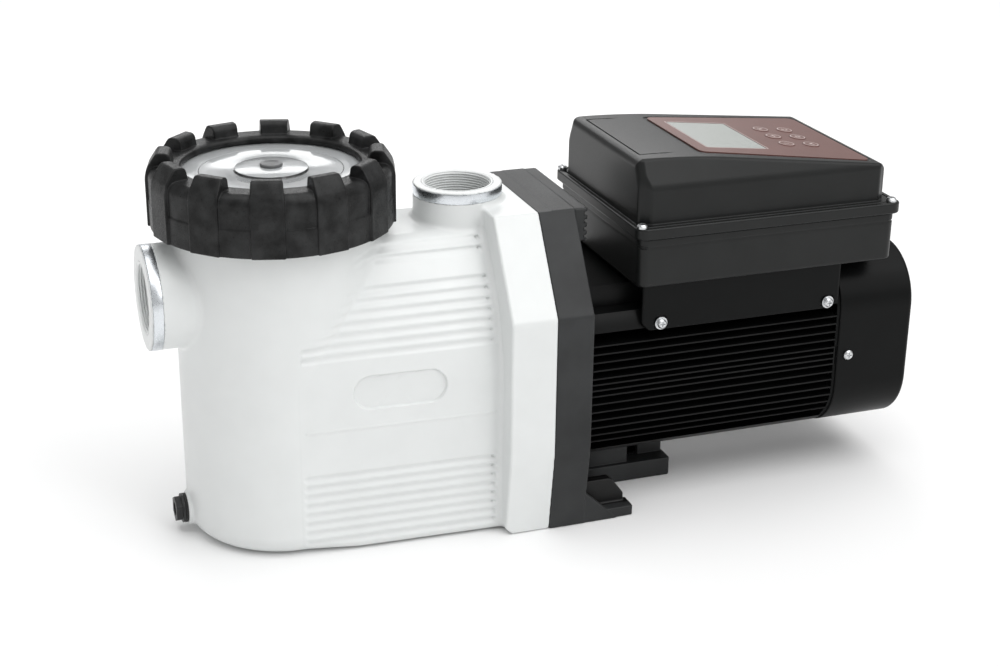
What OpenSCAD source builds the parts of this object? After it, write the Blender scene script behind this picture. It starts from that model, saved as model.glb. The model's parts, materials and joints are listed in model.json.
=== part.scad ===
// Self-priming pool pump: strainer barrel, wet end, close-coupled finned motor and speed control box.
// Frame: origin on the ground under the strainer axis, +X along the shaft to the motor, +Z up. Millimetres.

/* [Display] */
// Node to draw, or all of them

/* [Strainer barrel] */
// Outer radius of the strainer barrel
barrel_r = 86; // [70:1:100]
// Radius of the rounded lower edge of the barrel
barrel_edge = 20; // [8:1:34]
// Wall thickness of the moulded housing
wall = 6; // [4:0.5:9]
// Height of the top of the threaded neck
neck_top = 318; // [300:1:340]
// Outer radius of the threaded neck inside the lid ring
neck_r = 92; // [88:0.5:95]

/* [Lid] */
// Outer radius over the lugs of the lid ring
ring_r = 103.9; // [99:0.1:110]
// Height of the lower edge of the lid ring
ring_low = 280.2; // [270:0.1:290]
// Height of the flat top of the lid ring
ring_top = 332; // [328:0.5:340]
// Height of the top of the lugs
lug_top = 342.6; // [336:0.2:350]
// Radius of the window opening in the lid ring
ring_eye = 75; // [60:1:84]
// Number of lugs on the lid ring
lug_count = 12; // [6:1:16]

/* [Ports] */
// Minor radius of the internal pipe thread, both ports
port_bore = 28.33; // [20:0.01:34]
// Depth of the threaded part of each port
port_depth = 26; // [18:1:34]
// Distance of the suction face from the strainer axis
suction_x = 114; // [105:1:130]
// Height of the suction port axis
suction_z = 222.3; // [205:0.1:235]
// Outer radius of the suction collar
suction_r = 45.3; // [38:0.1:50]
// Distance of the discharge axis from the strainer axis
discharge_x = 164.4; // [155:0.1:172]
// Height of the discharge face
discharge_z = 299; // [290:1:310]
// Outer radius of the discharge collar
discharge_r = 39.3; // [34:0.1:44]

/* [Wet end] */
// Height of the shaft axis above the ground
shaft_z = 122; // [110:1:135]
// Distance of the joint between housing flange and bracket from the strainer axis
joint_x = 216.4; // [205:0.1:228]
// Half width of the flange
flange_w = 115.3; // [100:0.1:125]
// Height of the top of the flange
flange_top = 283.9; // [270:0.1:295]
// Outer radius of the impeller
impeller_r = 60; // [50:1:68]
// Number of impeller blades
blade_count = 6; // [4:1:9]

/* [Bracket and feet] */
// Rear face of the bracket skirt
bracket_x = 250; // [240:1:256]
// Rear end of the two side feet
foot_x = 298.5; // [285:0.5:310]
// Thickness of the side feet
foot_t = 10; // [7:0.5:14]
// Distance of the foot bolt holes from the strainer axis
hole_x = 272; // [262:1:282]
// Half the spacing of the foot bolt holes
hole_y = 76; // [70:1:80]
// Radius of the foot bolt holes
hole_r = 4.75; // [3:0.25:6.5]
// Rear end of the motor support
support_x = 364.5; // [340:0.5:380]

/* [Motor] */
// Front end of the finned motor housing
motor_x = 256; // [254:1:262]
// Rear end of the finned motor housing
motor_end = 505; // [480:1:506]
// Half width of the motor over the fins
motor_w = 86; // [80:0.5:86]
// Underside of the motor
motor_low = 40; // [34:1:46]
// Corner radius of the motor and fan cover outline
corner_r = 52; // [40:1:60]
// Bore radius of the motor housing
stator_r = 62; // [58:0.5:64]
// Spacing of the wide-set fins
fin_pitch = 7.8; // [7:0.1:8.4]
// Thickness of a fin
fin_t = 2.4; // [1.6:0.1:3]
// Rear end of the fan cover
cover_end = 585; // [575:1:610]

/* [Control box] */
// Front end of the control box base
box_x = 299.5; // [298:0.5:310]
// Rear end of the control box base
box_end = 552; // [530:0.5:553]
// Half width of the control box base
box_w = 94; // [88:0.5:98]
// Underside of the control box base
box_low = 215; // [214.5:0.5:218]
// Underside of the lid flange
box_rim = 259; // [250:1:264]
// Height of the level part of the lid
box_top = 326; // [316:1:334]
// Fall of the lid top per unit of length behind the level part
box_slope = 0.113; // [0.05:0.001:0.2]
// Radius of a push button
button_r = 7.7; // [5:0.1:9]
// Spacing of the push buttons
button_pitch = 25.6; // [20:0.1:30]

/* [Hidden] */
$fn = 96;
eps = 0.01;
gap = 0.3;
fit = 0.1;
touch = 0.05;

// housing
chamber_r = barrel_r - wall;
flange_x = 175;
panel_x = flange_x;
panel_w = 93.3;
panel_low = 1;
plan_d = sqrt(panel_x * panel_x + panel_w * panel_w);
plan_a = atan2(panel_w, panel_x) + acos(barrel_r / plan_d);
tangent_x = barrel_r * cos(plan_a);
tangent_y = barrel_r * sin(plan_a);
panel_a = atan2(panel_w - tangent_y, panel_x - tangent_x);
shoulder_z = 189.3;
crown_z = 267;
crown_w = 43;
shoulder_a = atan2(panel_w - crown_w, crown_z - shoulder_z);
flange_crown = 63.8;
flange_shoulder = 204.2;
flange_waist = 78.6;
flange_foot = 104;
opening_r = 92;
opening_x = joint_x - 18;
groove_d = 4.6;
duct_r = 31;
duct_end = 130;
ledge_z = 182;
ledge_w = 5;
badge_x = 88;
badge_z = 148.2;
badge_len = 81.5;
badge_h = 30.5;
band_t = 2;
band_w = 8.5;
lip_t = 1.5;
groove_end = 168.5;
groove_h = 2.6;
groove_t = 1;
low_groove_z = 12.2;
low_pitch = 8.73;
low_start = 2;
high_groove_z = 184.2;
high_pitch = 8.15;
high_starts = [-1, 0, 12, 21, 29, 36, 43, 50];
crown_groove_z = [253.8, 261.8];
crown_start = 62;
port_step = 1.4;
drain_z = 21;
drain_r = 10.2;
drain_boss = 15;

// lid
lid_low = neck_top + gap;
lid_t = 7;
lid_top = lid_low + lid_t;
lid_r = 90;
seal_r = 86;
seal_t = 2.6;

// basket
basket_rim = 188;
basket_r = 74;
basket_low = 18;
basket_wall = 2;
slot_rows = 4;
slot_cols = 20;
bail_r = 66;
bail_t = 2.4;
bail_z = basket_rim + 4.6;

// rotor line
shaft_r = 10;
core_r = 35.6;
core_x = 300;
core_len = 120;
bearing_w = 14;
bearing_ro = 23.5;
front_bearing_x = 250;
rear_bearing_x = 480;
impeller_x = 150;
impeller_w = 26;
seat_x = 206;

// bracket
skirt_t = 6;
plate_x = 232;
hub_x = 244;
casing_bolts_r = 4;
hood_x = 262.3;
hood_low = 254;
foot_y = 102.5;
channel_w = 20;
cheek_h = 34;
inner_cheek_h = 22;
cheek_low = 17.5;
tongue_w = 39;
tongue_t = 18;
saddle_w = 23;

// motor
outline_top = 214;
cover_x = 508;
cover_w = 87;
cover_t = 2;
cover_edge = 5;
cover_screw_x = 519;
tube_r = 70;
sill_h = 15;
band_low = 174;
band_top = 190;
plinth_w = 62;
plinth_top = 209;
fan_r = 66;
fan_x = 524;

// control box
rim_x = 295.5;
rim_end = 555;
rim_w = 99;
rim_top = 270.5;
lid_x = 301.5;
lid_end = 544;
lid_w0 = 88;
lid_w1 = 86.5;
lid_w2 = 75;
lid_facet = 303;
crease_x = 347;
box_wall = 3;
slope_a = atan(box_slope);
panel_at = 451;
panel_len = 168;
panel_w0 = 62;
panel_w1 = 76;
panel_t = 1;
window_at = -38;
window_len = 60;
window_w = 88;
button_at = 34;
adaptor_x = 306;
adaptor_end = 504;
adaptor_w = 88.5;
adaptor_low = 172;
adaptor_screw_z = 176.5;
screw_x0 = 324.8;
screw_x1 = 491.7;
lid_screw_x0 = 301;
lid_screw_x1 = 546.5;
lid_screw_y = 92.5;
gland_x = 350;
gland_z = 237;

// ---------- helpers ----------

// turn a shape built on +Z so that it runs along +X on the shaft axis
module on_shaft(x = 0) {
  translate([x, 0, shaft_z])
    rotate([0, 90, 0])
      children();
}

// plain tube on +Z
module tube(ro, ri, h) {
  difference() {
    cylinder(r = ro, h = h);
    translate([0, 0, -1])
      cylinder(r = ri, h = h + 2);
  }
}

// ring of round section on +Z
module o_ring(r, t) {
  rotate_extrude()
    translate([r, 0])
      circle(r = t, $fn = 48);
}

// pan-head screw: head above z = 0, shank below
module screw(head_r, head_h, shank_r, len) {
  difference() {
    union() {
      cylinder(r = head_r, h = head_h * 0.55);
      translate([0, 0, head_h * 0.55])
        cylinder(r1 = head_r, r2 = head_r * 0.72, h = head_h * 0.45);
      translate([0, 0, -len])
        cylinder(r = shank_r, h = len + eps);
    }
    for (a = [0, 90])
      rotate([0, 0, a])
        translate([-head_r * 0.55, -head_r * 0.1, head_h * 0.5])
          cube([head_r * 1.1, head_r * 0.2, head_h]);
  }
}

// hexagon-head bolt: head above z = 0, shank below
module hex_bolt(flat_r, head_h, shank_r, len) {
  cylinder(r = flat_r / cos(30), h = head_h, $fn = 6);
  translate([0, 0, -len])
    cylinder(r = shank_r, h = len + eps);
}

// octagonal outline shared by flange and bracket, drawn as [y, z]
module octagon(inset = 0) {
  t = inset;
  polygon([
    [-flange_crown + t * 0.4, flange_top - t],
    [flange_crown - t * 0.4, flange_top - t],
    [flange_w - t, flange_shoulder - t * 0.4],
    [flange_w - t, flange_waist],
    [flange_foot - t, t],
    [-flange_foot + t, t],
    [-flange_w + t, flange_waist],
    [-flange_w + t, flange_shoulder - t * 0.4]
  ]);
}

// extrude a [y, z] outline along +X from x0 to x1
module along_x(x0, x1) {
  translate([x0, 0, 0])
    rotate([90, 0, 90])
      linear_extrude(height = x1 - x0)
        children();
}

// rounded-square motor outline, drawn as [y, z]
module motor_outline(w, low, top, r) {
  translate([-w + r, low])
    square([2 * (w - r), top - low]);
  translate([-w, low + r])
    square([2 * w, top - low - 2 * r]);
  for (y = [-w + r, w - r], z = [low + r, top - r])
    translate([y, z])
      circle(r = r);
}

// profile with one rounded end, drawn as [x, height]
module round_end(len, h, edge) {
  square([len - edge, h]);
  square([len, h - edge]);
  translate([len - edge, h - edge])
    circle(r = edge);
}

// motor outline extruded from x0 to x1 with its rear edge rounded
module rounded_shell(x0, x1, w, low, top, r, edge) {
  len = x1 - x0;
  mid = (low + top) / 2;
  for (y = [-w + r, w - r], z = [low + r, top - r])
    translate([x0, y, z])
      rotate([0, 90, 0])
        rotate_extrude()
          intersection() {
            square([r, len]);
            union() {
              square([r, len - edge]);
              square([r - edge, len]);
              translate([r - edge, len - edge])
                circle(r = edge);
            }
          }
  for (s = [-1, 1]) {
    translate([x0, 0, mid])
      rotate([90, 0, 0])
        translate([0, 0, -w + r])
          linear_extrude(height = 2 * (w - r))
            scale_flip(s)
              round_end(len, (top - low) / 2, edge);
    translate([x0, 0, low + r])
      linear_extrude(height = top - low - 2 * r)
        scale_flip(s)
          round_end(len, w, edge);
  }
}

// mirror a flat outline about its first axis when s is negative
module scale_flip(s) {
  mirror([0, s < 0 ? 1 : 0])
    children();
}

// ---------- wet end ----------

// outer shape of the barrel, shrunk by t
module barrel_solid(t, top) {
  rb = barrel_edge;
  translate([0, 0, t])
    rotate_extrude()
      union() {
        square([barrel_r - t - rb, top - t]);
        translate([0, rb])
          square([barrel_r - t, top - t - rb]);
        translate([barrel_r - t - rb, rb])
          circle(r = rb);
      }
}

// trunk between barrel and flange, shrunk by t
module trunk_solid(t, x1) {
  intersection() {
    linear_extrude(height = crown_z)
      polygon([
        [tangent_x, tangent_y - t],
        [x1, panel_w - t],
        [x1, -panel_w + t],
        [tangent_x, -tangent_y + t]
      ]);
    along_x(tangent_x, x1)
      polygon([
        [-crown_w + t * 0.5, crown_z - t],
        [crown_w - t * 0.5, crown_z - t],
        [panel_w - t, shoulder_z],
        [panel_w - t, panel_low + t + 10],
        [panel_w - t - 10, panel_low + t],
        [-panel_w + t + 10, panel_low + t],
        [-panel_w + t, panel_low + t + 10],
        [-panel_w + t, shoulder_z]
      ]);
  }
}

module housing_outer() {
  barrel_solid(0, 290);
  translate([0, 0, 284])
    cylinder(r = neck_r, h = neck_top - 284);
  trunk_solid(0, flange_x + eps);
  along_x(flange_x, joint_x)
    octagon();
  translate([-suction_x, 0, suction_z])
    rotate([0, 90, 0])
      cylinder(r = suction_r - band_t, h = suction_x - 40);
  translate([-suction_x, 0, suction_z])
    rotate([0, 90, 0])
      cylinder(r = suction_r - 0.2, h = lip_t);
  translate([-suction_x + lip_t + band_w, 0, suction_z])
    rotate([0, 90, 0])
      cylinder(r = suction_r - 0.2, h = suction_x - 60);
  translate([discharge_x, 0, crown_z - 30])
    cylinder(r = discharge_r - band_t, h = discharge_z - crown_z + 30);
  translate([discharge_x, 0, discharge_z - lip_t])
    cylinder(r = discharge_r - 0.2, h = lip_t);
  translate([discharge_x, 0, crown_z - 30])
    cylinder(r = discharge_r - 0.2, h = discharge_z - lip_t - band_w - crown_z + 30);
  translate([-barrel_r - 2, 0, drain_z])
    rotate([0, 90, 0])
      cylinder(r = drain_boss, h = 12);
}

// grooves on both side panels and shoulders of the trunk
module panel_grooves() {
  for (s = [-1, 1]) {
    for (i = [0 : 7])
      side_groove(s, low_start, low_groove_z + i * low_pitch);
    side_groove(s, high_starts[0], high_groove_z);
    for (i = [1 : 7])
      shoulder_groove(s, high_starts[i], high_groove_z + i * high_pitch);
    for (z = crown_groove_z)
      shoulder_groove(s, crown_start, z);
  }
}

// groove along the upright side panel, from x0 to the flange
module side_groove(s, x0, z) {
  scale_y(s)
    rotate([0, 0, panel_a])
      translate([x0 - tangent_x, barrel_r - groove_t, z - groove_h / 2])
        cube([groove_end - x0, 2 * groove_t, groove_h]);
}

// groove along the sloping shoulder, from x0 to the flange
module shoulder_groove(s, x0, z) {
  scale_y(s)
    translate([x0, crown_w + (crown_z - z) * tan(shoulder_a), z])
      rotate([shoulder_a, 0, 0])
        translate([0, -groove_t, -groove_h / 2])
          cube([groove_end - x0, 2 * groove_t, groove_h]);
}

// bare stadium recess for a badge on the near side panel
module badge_recess() {
  rotate([0, 0, -panel_a])
    translate([badge_x, -barrel_r + 1.2, badge_z])
      rotate([90, 0, 0])
        linear_extrude(height = 4)
          union() {
            square([badge_len - badge_h, badge_h], center = true);
            for (x = [-1, 1])
              translate([x * (badge_len - badge_h) / 2, 0])
                circle(r = badge_h / 2);
          }
}

// white moulded housing: strainer chamber, pump chamber, both ports and the flange
module pump_housing() {
  color([0.93, 0.94, 0.95])
    difference() {
      union() {
        difference() {
          housing_outer();
          difference() {
            trunk_solid(wall, opening_x);
            cylinder(r = barrel_r, h = 300);
          }
        }
        on_shaft(80)
          cylinder(r = duct_r + wall, h = duct_end - 80);
      }
      difference() {
        translate([0, 0, wall])
          cylinder(r = chamber_r, h = neck_top);
        translate([0, 0, ledge_z - ledge_w])
          tube(chamber_r + 1, chamber_r - ledge_w, ledge_w);
      }
      translate([0, 0, neck_top - seal_t - fit])
        tube(seal_r + seal_t + fit, seal_r - seal_t - fit, 10);
      translate([-suction_x - 1, 0, suction_z])
        rotate([0, 90, 0])
          cylinder(r = port_bore, h = port_depth + 1);
      translate([-suction_x, 0, suction_z])
        rotate([0, 90, 0])
          cylinder(r = port_bore - port_step, h = suction_x - 60);
      translate([discharge_x, 0, discharge_z - port_depth])
        cylinder(r = port_bore, h = port_depth + 1);
      translate([discharge_x, 0, shaft_z + 60])
        cylinder(r = port_bore - port_step, h = discharge_z - shaft_z - 61);
      on_shaft(60)
        cylinder(r = duct_r, h = duct_end - 50);
      on_shaft(opening_x - eps)
        cylinder(r = opening_r, h = 40);
      on_shaft(joint_x - groove_d)
        tube(98 + groove_d / 2 + fit, 98 - groove_d / 2 - fit, 10);
      translate([-barrel_r - 10, 0, drain_z])
        rotate([0, 90, 0])
          cylinder(r = drain_r + fit, h = 22);
      bolt_ring(joint_x + 1)
        rotate([0, -90, 0])
          cylinder(r = casing_bolts_r + fit, h = 32);
      panel_grooves();
      badge_recess();
    }
}

// places its children at the eight casing bolts
module bolt_ring(x) {
  for (s = [-1, 1], p = [[50, 262], [96, 206], [105, 140], [101.5, 52]])
    translate([x, s * p[0], p[1]])
      children();
}

// chrome band round the suction collar
module suction_band() {
  color([0.8, 0.81, 0.83])
    translate([-suction_x + lip_t, 0, suction_z])
      rotate([0, 90, 0])
        tube(suction_r, suction_r - band_t, band_w);
}

// chrome band round the discharge collar
module discharge_band() {
  color([0.8, 0.81, 0.83])
    translate([discharge_x, 0, discharge_z - lip_t - band_w])
      tube(discharge_r, discharge_r - band_t, band_w);
}

// clear strainer lid with a hollow spigot reaching into the neck
module lid() {
  color([0.85, 0.9, 0.93, 0.35])
    difference() {
      union() {
        translate([0, 0, lid_low])
          cylinder(r = lid_r, h = lid_t);
        translate([0, 0, lid_low - 9])
          cylinder(r = chamber_r - gap, h = 10);
      }
      translate([0, 0, lid_low - 10])
        cylinder(r = chamber_r - 5, h = 11.5);
      translate([0, 0, lid_top - 2])
        tube(60, 58.5, 3);
      translate([0, 0, lid_top - 2])
        tube(34, 32.5, 3);
      translate([0, 0, lid_top - 3])
        cylinder(r = 7 + touch, h = 4);
    }
}

// grey boss at the centre of the lid
module lid_boss() {
  color([0.55, 0.56, 0.58])
    translate([0, 0, lid_top - 3]) {
      cylinder(r = 7, h = 3.8);
      translate([0, 0, 3.8])
        cylinder(r1 = 7, r2 = 4, h = 1);
    }
}

// revolved outline of one lug
module lug_profile() {
  polygon([
    [82, lid_top + 2],
    [84, lug_top - 0.5],
    [85, lug_top],
    [93, lug_top],
    [ring_r - 4, lug_top - 8],
    [ring_r, lug_top - 16],
    [ring_r, ring_low + 1.5],
    [ring_r - 1.5, ring_low],
    [97, ring_low],
    [97, lid_top + 2]
  ]);
}

// screwed ring that holds the lid down, with twelve grip lugs
module lid_ring() {
  step = 360 / lug_count;
  color([0.16, 0.17, 0.17])
    difference() {
      union() {
        rotate_extrude()
          polygon([
            [neck_r + gap, ring_low],
            [ring_r - 3, ring_low],
            [ring_r - 2, ring_low + 1],
            [ring_r - 2, ring_top - 7],
            [ring_r - 7, ring_top],
            [ring_eye + 4, ring_top],
            [ring_eye, ring_top - 2.5],
            [ring_eye, lid_top + gap],
            [neck_r + gap, lid_top + gap]
          ]);
        for (i = [0 : lug_count - 1])
          rotate([0, 0, (i + 0.5) * step])
            intersection() {
              rotate_extrude()
                lug_profile();
              translate([0, 0, ring_low - 1])
                linear_extrude(height = 80)
                  polygon([[60, -9], [112, -15], [112, 15], [60, 9]]);
            }
      }
      translate([0, 0, ring_low + 24])
        tube(ring_r + 2, ring_r - 2.6, 0.8);
    }
}

// lid sealing ring
module lid_seal() {
  color([0.06, 0.06, 0.06])
    translate([0, 0, neck_top - touch])
      intersection() {
        o_ring(seal_r, seal_t);
        translate([0, 0, -5])
          cylinder(r = 100, h = 5);
      }
}

// removable perforated basket, seated on the ledge in the barrel
module strainer_basket() {
  h = basket_rim - basket_low;
  color([0.88, 0.9, 0.92])
    difference() {
      union() {
        translate([0, 0, basket_low])
          cylinder(r1 = basket_r - 8, r2 = basket_r, h = h);
        translate([0, 0, ledge_z + gap])
          cylinder(r = chamber_r - gap * 2, h = basket_rim - ledge_z - gap);
        for (s = [-1, 1])
          translate([-4, s * 69 - 2, basket_rim - 1])
            cube([8, 4, 9]);
      }
      translate([0, 0, basket_low + basket_wall])
        cylinder(r1 = basket_r - 8 - basket_wall, r2 = basket_r - basket_wall - 1, h = h - basket_wall + eps);
      for (i = [0 : slot_cols - 1], j = [0 : slot_rows - 1])
        rotate([0, 0, i * 360 / slot_cols])
          translate([50, -4, basket_low + 8 + j * 39])
            cube([40, 8, 30]);
      for (i = [0 : 5])
        rotate([0, 0, i * 60])
          translate([20, -5, 0])
            cube([36, 10, 60]);
      translate([0, -90, bail_z])
        rotate([-90, 0, 0])
          cylinder(r = 2.1, h = 180, $fn = 32);
    }
}

// wire bail of the basket, folded down towards the motor at rest
module basket_handle() {
  color([0.75, 0.76, 0.78]) {
    translate([0, 0, bail_z])
      intersection() {
        o_ring(bail_r - bail_t, bail_t);
        translate([0, -80, -5])
          cube([90, 160, 10]);
      }
    for (s = [-1, 1])
      translate([0, s * (bail_r - bail_t), bail_z])
        rotate([-90 * s, 0, 0])
          cylinder(r = 2, h = 9, $fn = 32);
  }
}

// hexagonal drain plug with a threaded shank
module drain_plug() {
  color([0.13, 0.14, 0.14])
    translate([-barrel_r - 2 - 2.4, 0, drain_z])
      rotate([0, -90, 0]) {
        difference() {
          union() {
            cylinder(r = 13, h = 2.4);
            cylinder(r = 12, h = 8, $fn = 6);
          }
          translate([0, 0, 5])
            cylinder(r = 6, h = 4);
        }
        translate([0, 0, -13])
          cylinder(r = drain_r, h = 13 + eps);
      }
}

// sealing ring under the drain plug head
module drain_seal() {
  color([0.06, 0.06, 0.06])
    translate([-barrel_r - 2 - 2.1, 0, drain_z])
      rotate([0, 90, 0])
        tube(13, drain_r + gap, 1.8);
}

// stationary diffuser with guide vanes round the impeller
module diffuser() {
  color([0.2, 0.21, 0.22])
    on_shaft() {
      translate([0, 0, 143])
        tube(84, 29, 4);
      translate([0, 0, duct_end - 12])
        tube(duct_r - touch, 29, 147 - duct_end + 12 - 4 + eps);
      for (i = [0 : 7])
        rotate([0, 0, i * 45])
          intersection() {
            translate([0, 0, 146])
              tube(84, impeller_r + 4, seat_x - 146 - 2);
            translate([58, -18, 146])
              rotate([0, 0, 38])
                cube([50, 4, seat_x - 146 - 2]);
          }
    }
}

// closed impeller
module impeller() {
  color([0.3, 0.31, 0.33])
    on_shaft(impeller_x) {
      difference() {
        union() {
          cylinder(r = 16, h = impeller_w + 4);
          translate([0, 0, impeller_w - 4])
            cylinder(r = impeller_r, h = 4);
          difference() {
            union() {
              cylinder(r = impeller_r, h = 3);
              translate([0, 0, -6])
                cylinder(r = 28, h = 7);
            }
            translate([0, 0, -7])
              cylinder(r = 25, h = 12);
          }
          for (i = [0 : blade_count - 1])
            rotate([0, 0, i * 360 / blade_count])
              intersection() {
                translate([0, 0, 1])
                  tube(impeller_r - 0.5, 15, impeller_w - 3);
                translate([10, -22, 1])
                  rotate([0, 0, 42])
                    cube([90, 3, impeller_w - 3]);
              }
        }
        translate([0, 0, -10])
          cylinder(r = shaft_r - 1 + fit, h = 60);
      }
    }
}

// cap nut on the shaft end
module impeller_nut() {
  color([0.7, 0.7, 0.72])
    on_shaft(impeller_x - 10) {
      difference() {
        cylinder(r = 11, h = 10, $fn = 6);
        translate([0, 0, 3])
          cylinder(r = 6 + fit, h = 8);
      }
    }
}

// rotating head of the shaft seal
module seal_head() {
  color([0.15, 0.15, 0.16])
    on_shaft(seat_x - 10)
      tube(17, shaft_r + fit, 10 - touch);
}

// spring cage of the shaft seal
module seal_spring() {
  color([0.72, 0.73, 0.75])
    on_shaft(impeller_x + impeller_w + 4)
      tube(15, shaft_r + 1, seat_x - 10 - impeller_x - impeller_w - 4);
}

// stationary seat of the shaft seal, held in the bracket
module seal_seat() {
  color([0.85, 0.84, 0.8])
    on_shaft(seat_x)
      tube(20, shaft_r + 1, 8);
}

// large sealing ring between housing and bracket
module casing_seal() {
  color([0.06, 0.06, 0.06])
    on_shaft(joint_x - 2.2)
      o_ring(98, 2.2);
}

// ---------- bracket and feet ----------

// black bracket: closes the pump chamber, carries the motor and stands on two feet
module bracket() {
  color([0.17, 0.18, 0.18])
    difference() {
      union() {
        along_x(joint_x, plate_x)
          octagon();
        difference() {
          along_x(plate_x - eps, bracket_x)
            octagon();
          along_x(plate_x, bracket_x + 1)
            octagon(skirt_t);
        }
        translate([plate_x, -flange_crown, hood_low])
          cube([hood_x - plate_x, 2 * flange_crown, flange_top - hood_low]);
        on_shaft(seat_x - 2)
          cylinder(r = opening_r - gap, h = joint_x - seat_x + 2 + eps);
        on_shaft(plate_x - eps)
          cylinder(r = 58, h = hub_x - plate_x);
        for (s = [-1, 1])
          side_foot(s);
        for (s = [-1, 1], z = [60, 100, 150, 195])
          translate([plate_x, s * 87 - 22, z - 2])
            cube([bracket_x - plate_x - 4, 44, 4]);
      }
      on_shaft(seat_x - 3)
        cylinder(r = 20 + touch, h = 11);
      on_shaft(seat_x)
        cylinder(r = 14, h = 60);
      on_shaft(plate_x - 6)
        cylinder(r = 50, h = 60);
      bolt_ring(joint_x - 1)
        rotate([0, 90, 0])
          cylinder(r = casing_bolts_r + fit, h = 40);
      bolt_ring(plate_x)
        rotate([0, 90, 0])
          cylinder(r = 8.2, h = 60);
      for (i = [0 : 3])
        translate([hood_x - 3, -flange_crown - 1, hood_low + 2 + i * 7])
          cube([4, 2 * flange_crown + 2, 3.4]);
      for (s = [-1, 1])
        translate([hole_x, s * hole_y, -1])
          cylinder(r = hole_r, h = foot_t + 2);
      for (a = [45, 135, 225, 315])
        on_shaft(plate_x - 8)
          rotate([0, 0, a])
            translate([54, 0, 0])
              cylinder(r = 3 + fit, h = 40);
    }
}

// one side foot: a pad with a front ledge and a wall on either side of the bolt channel
module side_foot(s) {
  scale_y(s) {
    linear_extrude(height = foot_t)
      polygon([
        [plate_x, hole_y - channel_w / 2 - skirt_t],
        [foot_x - 5, hole_y - channel_w / 2 - skirt_t],
        [foot_x - 5, hole_y + channel_w / 2],
        [foot_x, hole_y + channel_w / 2],
        [foot_x, foot_y - 2],
        [foot_x - 2, foot_y],
        [plate_x, flange_foot]
      ]);
    foot_cheek(hole_y - channel_w / 2, inner_cheek_h);
    foot_cheek(hole_y + channel_w / 2 + skirt_t, cheek_h);
  }
}

// upright cheek of a foot, its rear edge sloping down to the foot
module foot_cheek(y, h) {
  translate([0, y, 0])
    rotate([90, 0, 0])
      linear_extrude(height = skirt_t)
        polygon([
          [plate_x, 0],
          [plate_x, h],
          [foot_x - 5 - (h - cheek_low) * 0.76, h],
          [foot_x - 5, cheek_low],
          [foot_x - 5, 0]
        ]);
}

// mirror a shape to the far side when s is positive
module scale_y(s) {
  mirror([0, s < 0 ? 1 : 0, 0])
    children();
}

// eight bolts through the bracket plate into the flange
module casing_bolts() {
  color([0.72, 0.73, 0.75])
    bolt_ring(plate_x)
      rotate([0, 90, 0])
        hex_bolt(6.5, 5.5, casing_bolts_r, plate_x - joint_x + 20);
}

// four cap screws that hold the motor to the bracket
module shield_bolts() {
  color([0.72, 0.73, 0.75])
    for (a = [45, 135, 225, 315])
      on_shaft(motor_x - 6)
        rotate([0, 0, a])
          translate([54, 0, 0])
            difference() {
              hex_bolt(4.8, 4, 3, 22);
              translate([0, 0, 2])
                cylinder(r = 2, h = 3, $fn = 6);
            }
}

// support under the motor, standing on the ground
module motor_support() {
  color([0.17, 0.18, 0.18])
    difference() {
      union() {
        linear_extrude(height = tongue_t)
          polygon([
            [bracket_x + 0.5, -tongue_w],
            [support_x - 2, -tongue_w],
            [support_x, -tongue_w + 2],
            [support_x, tongue_w - 2],
            [support_x - 2, tongue_w],
            [bracket_x + 0.5, tongue_w]
          ]);
        translate([motor_x + 2, -saddle_w, tongue_t - eps])
          cube([support_x - motor_x - 4, 2 * saddle_w, motor_low - tongue_t + eps]);
        translate([motor_x + 2, -tongue_w + 4, tongue_t - eps])
          cube([64, 2 * tongue_w - 8, motor_low - tongue_t + eps]);
        translate([plate_x, -tongue_w + 4, foot_t])
          cube([bracket_x + 1 - plate_x, 2 * tongue_w - 8, tongue_t - foot_t]);
      }
      for (s = [-1, 1])
        translate([support_x - 42, s * (saddle_w + 2) - 7, tongue_t])
          cube([15, 14, 60]);
      translate([motor_x + 12, -saddle_w + 5, -1])
        cube([support_x - motor_x - 24, 2 * saddle_w - 10, motor_low - 3]);
    }
}

// ---------- motor ----------

// front end shield, carries the front bearing
module front_shield() {
  color([0.12, 0.13, 0.13])
    difference() {
      union() {
        on_shaft(hub_x)
          cylinder(r = 62, h = motor_x - hub_x);
        on_shaft(motor_x - 4)
          cylinder(r = 76, h = 4);
        on_shaft(hub_x)
          cylinder(r = 30, h = 26);
        on_shaft(motor_x - 1)
          cylinder(r = stator_r - touch, h = 5);
      }
      on_shaft(front_bearing_x)
        cylinder(r = bearing_ro + touch, h = 40);
      on_shaft(hub_x - 1)
        cylinder(r = 14, h = 20);
      on_shaft(motor_x)
        tube(stator_r - 3, 30, 20);
      for (a = [45, 135, 225, 315])
        rotate_at(a)
          cylinder(r = 3 + fit, h = 60);
      for (a = [45, 135, 225, 315])
        rotate_at(a)
          translate([0, 0, motor_x - 6 - hub_x + 1])
            cylinder(r = 6, h = 30);
    }
}

// bolt axis through the front shield at angle a
module rotate_at(a) {
  on_shaft(hub_x - 1)
    rotate([0, 0, a])
      translate([54, 0, 0])
        children();
}

// heights of the fin centres above the shaft axis, either side
function fin_z(k) = k < 2 ? 2.8 + 5.6 * k : 8.4 + fin_pitch * (k - 1);

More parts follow.
